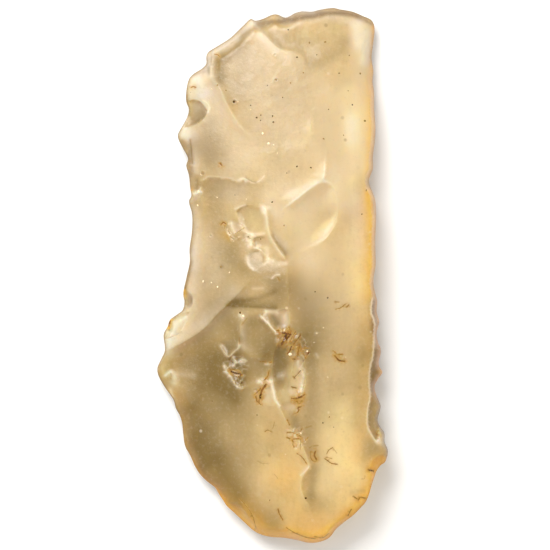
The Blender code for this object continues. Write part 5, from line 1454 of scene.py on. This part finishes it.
dark_mineral = mineral("dark_mineral", (0.03, 0.014, 0.004, 1), (0.13, 0.065, 0.015, 1), 1.0)
ochre_mineral = mineral("ochre_mineral", (0.22, 0.13, 0.04, 1), (0.42, 0.28, 0.10, 1), 0.8)
cristobalite = mineral("cristobalite", (0.76, 0.60, 0.36, 1), (0.92, 0.78, 0.53, 1), 0.8)
print("grain materials:", dark_mineral.name, ochre_mineral.name, cristobalite.name)

# %% Grains
HIGH_ABOVE = 0.1          # metres: rays that look for the face start here
DOWN = (0, 0, -1)


def grains(name, places, flatness, seed, material):
    """One mesh of small stones, each pressed into the upper face at its place."""
    table = np.array(places)
    xy, radius = (table[:, :2] - centre) * MM, table[:, 2] * MM
    face = [blade.ray_cast((x, y, HIGH_ABOVE), DOWN)[1].z for x, y in xy]
    cloud = bpy.data.meshes.new(name)
    cloud.from_pydata(np.column_stack([xy, face - SUNK * flatness * radius]).tolist(), [], [])
    cloud.attributes.new("radius", "FLOAT", "POINT").data.foreach_set("value", radius)
    stones = place_object(name, cloud)
    modifier = stones.modifiers.new("grains", "NODES")
    modifier.node_group = grains_on_points
    inputs = {item.name: item.identifier for item in grains_on_points.interface.items_tree
              if item.in_out == "INPUT"}
    for setting, value in (("Flatness", flatness), ("Seed", seed), ("Material", material)):
        modifier[inputs[setting]] = value
    bpy.context.view_layer.update()
    plain = bpy.data.meshes.new_from_object(stones.evaluated_get(bpy.context.evaluated_depsgraph_get()))
    stones.modifiers.remove(modifier)
    stones.data = plain
    print(f"{name}: {len(plain.polygons)} faces")
    return stones


dark_grains = grains("dark_grains", DARK_GRAINS, flatness=0.5, seed=3, material=dark_mineral)
ochre_grains = grains("ochre_grains", OCHRE_GRAINS, flatness=0.3, seed=5, material=ochre_mineral)
pale_grains = grains("pale_grains", PALE_GRAINS, flatness=0.5, seed=8, material=cristobalite)

# %% Place everything on the fixed model
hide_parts("desert_glass")
for piece in (blade, dark_grains, ochre_grains, pale_grains):
    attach(piece, "root")

# %% [markdown]
# ## Floor, light and camera
# White paper on a table, a large soft box at the upper left and a white room all round. The paper lies
# a hair below the blade, because two faces in the same plane would flicker.

# %% Floor
HALF_FLOOR = 1.5
FLOOR_GAP = 0.05 * MM
floor_mesh = bpy.data.meshes.new("floor")
corners = [(x * HALF_FLOOR, y * HALF_FLOOR, -FLOOR_GAP) for x, y in ((-1, -1), (1, -1), (1, 1), (-1, 1))]
floor_mesh.from_pydata(corners, [], [(0, 1, 2, 3)])
floor = place_object("floor", floor_mesh)
paper = new_material("white_paper", {
    "Base Color": (0.86, 0.855, 0.845, 1.0), "Roughness": 0.9, "Specular IOR Level": 0.1})[0]
floor_mesh.materials.append(paper)
print("floor ready")

# %% Light
WORLD_STRENGTH = 0.86
KEY_PLACE = (-0.24, 0.42, 0.50)
KEY_SIZE = 0.45
KEY_POWER = 5.8
world = bpy.data.worlds.new("studio")
bpy.context.scene.world = world
world.use_nodes = True
sky = world.node_tree.nodes["Background"].inputs
sky["Color"].default_value = (1.0, 0.99, 0.97, 1.0)
sky["Strength"].default_value = WORLD_STRENGTH

lamp = bpy.data.lights.new("key_light", "AREA")
lamp.size = KEY_SIZE
lamp.energy = KEY_POWER
lamp.color = (1.0, 0.98, 0.95)
key = place_object("key_light", lamp)
key.location = KEY_PLACE
key.rotation_euler = (-Vector(KEY_PLACE)).to_track_quat("-Z", "Y").to_euler()
print("key light:", lamp.energy, "W")

# %% Camera
CAMERA_HEIGHT = 1.6
VIEW_WIDTH = 550 / 6 * MM     # the frame shows this much of the floor
VIEW_MIDDLE = (0.42 * MM, 0.03 * MM)
MIDDLE_HEIGHT = 3 * MM        # the width is measured at this height
lens = bpy.data.cameras.new("camera")
lens.sensor_width = 36
lens.lens = lens.sensor_width * CAMERA_HEIGHT / VIEW_WIDTH
lens.clip_end = 10
camera = place_object("camera", lens)
camera.location = (*VIEW_MIDDLE, CAMERA_HEIGHT + MIDDLE_HEIGHT)
bpy.context.scene.camera = camera
bpy.context.scene.view_settings.view_transform = "Standard"
print("lens:", round(lens.lens, 1), "mm")
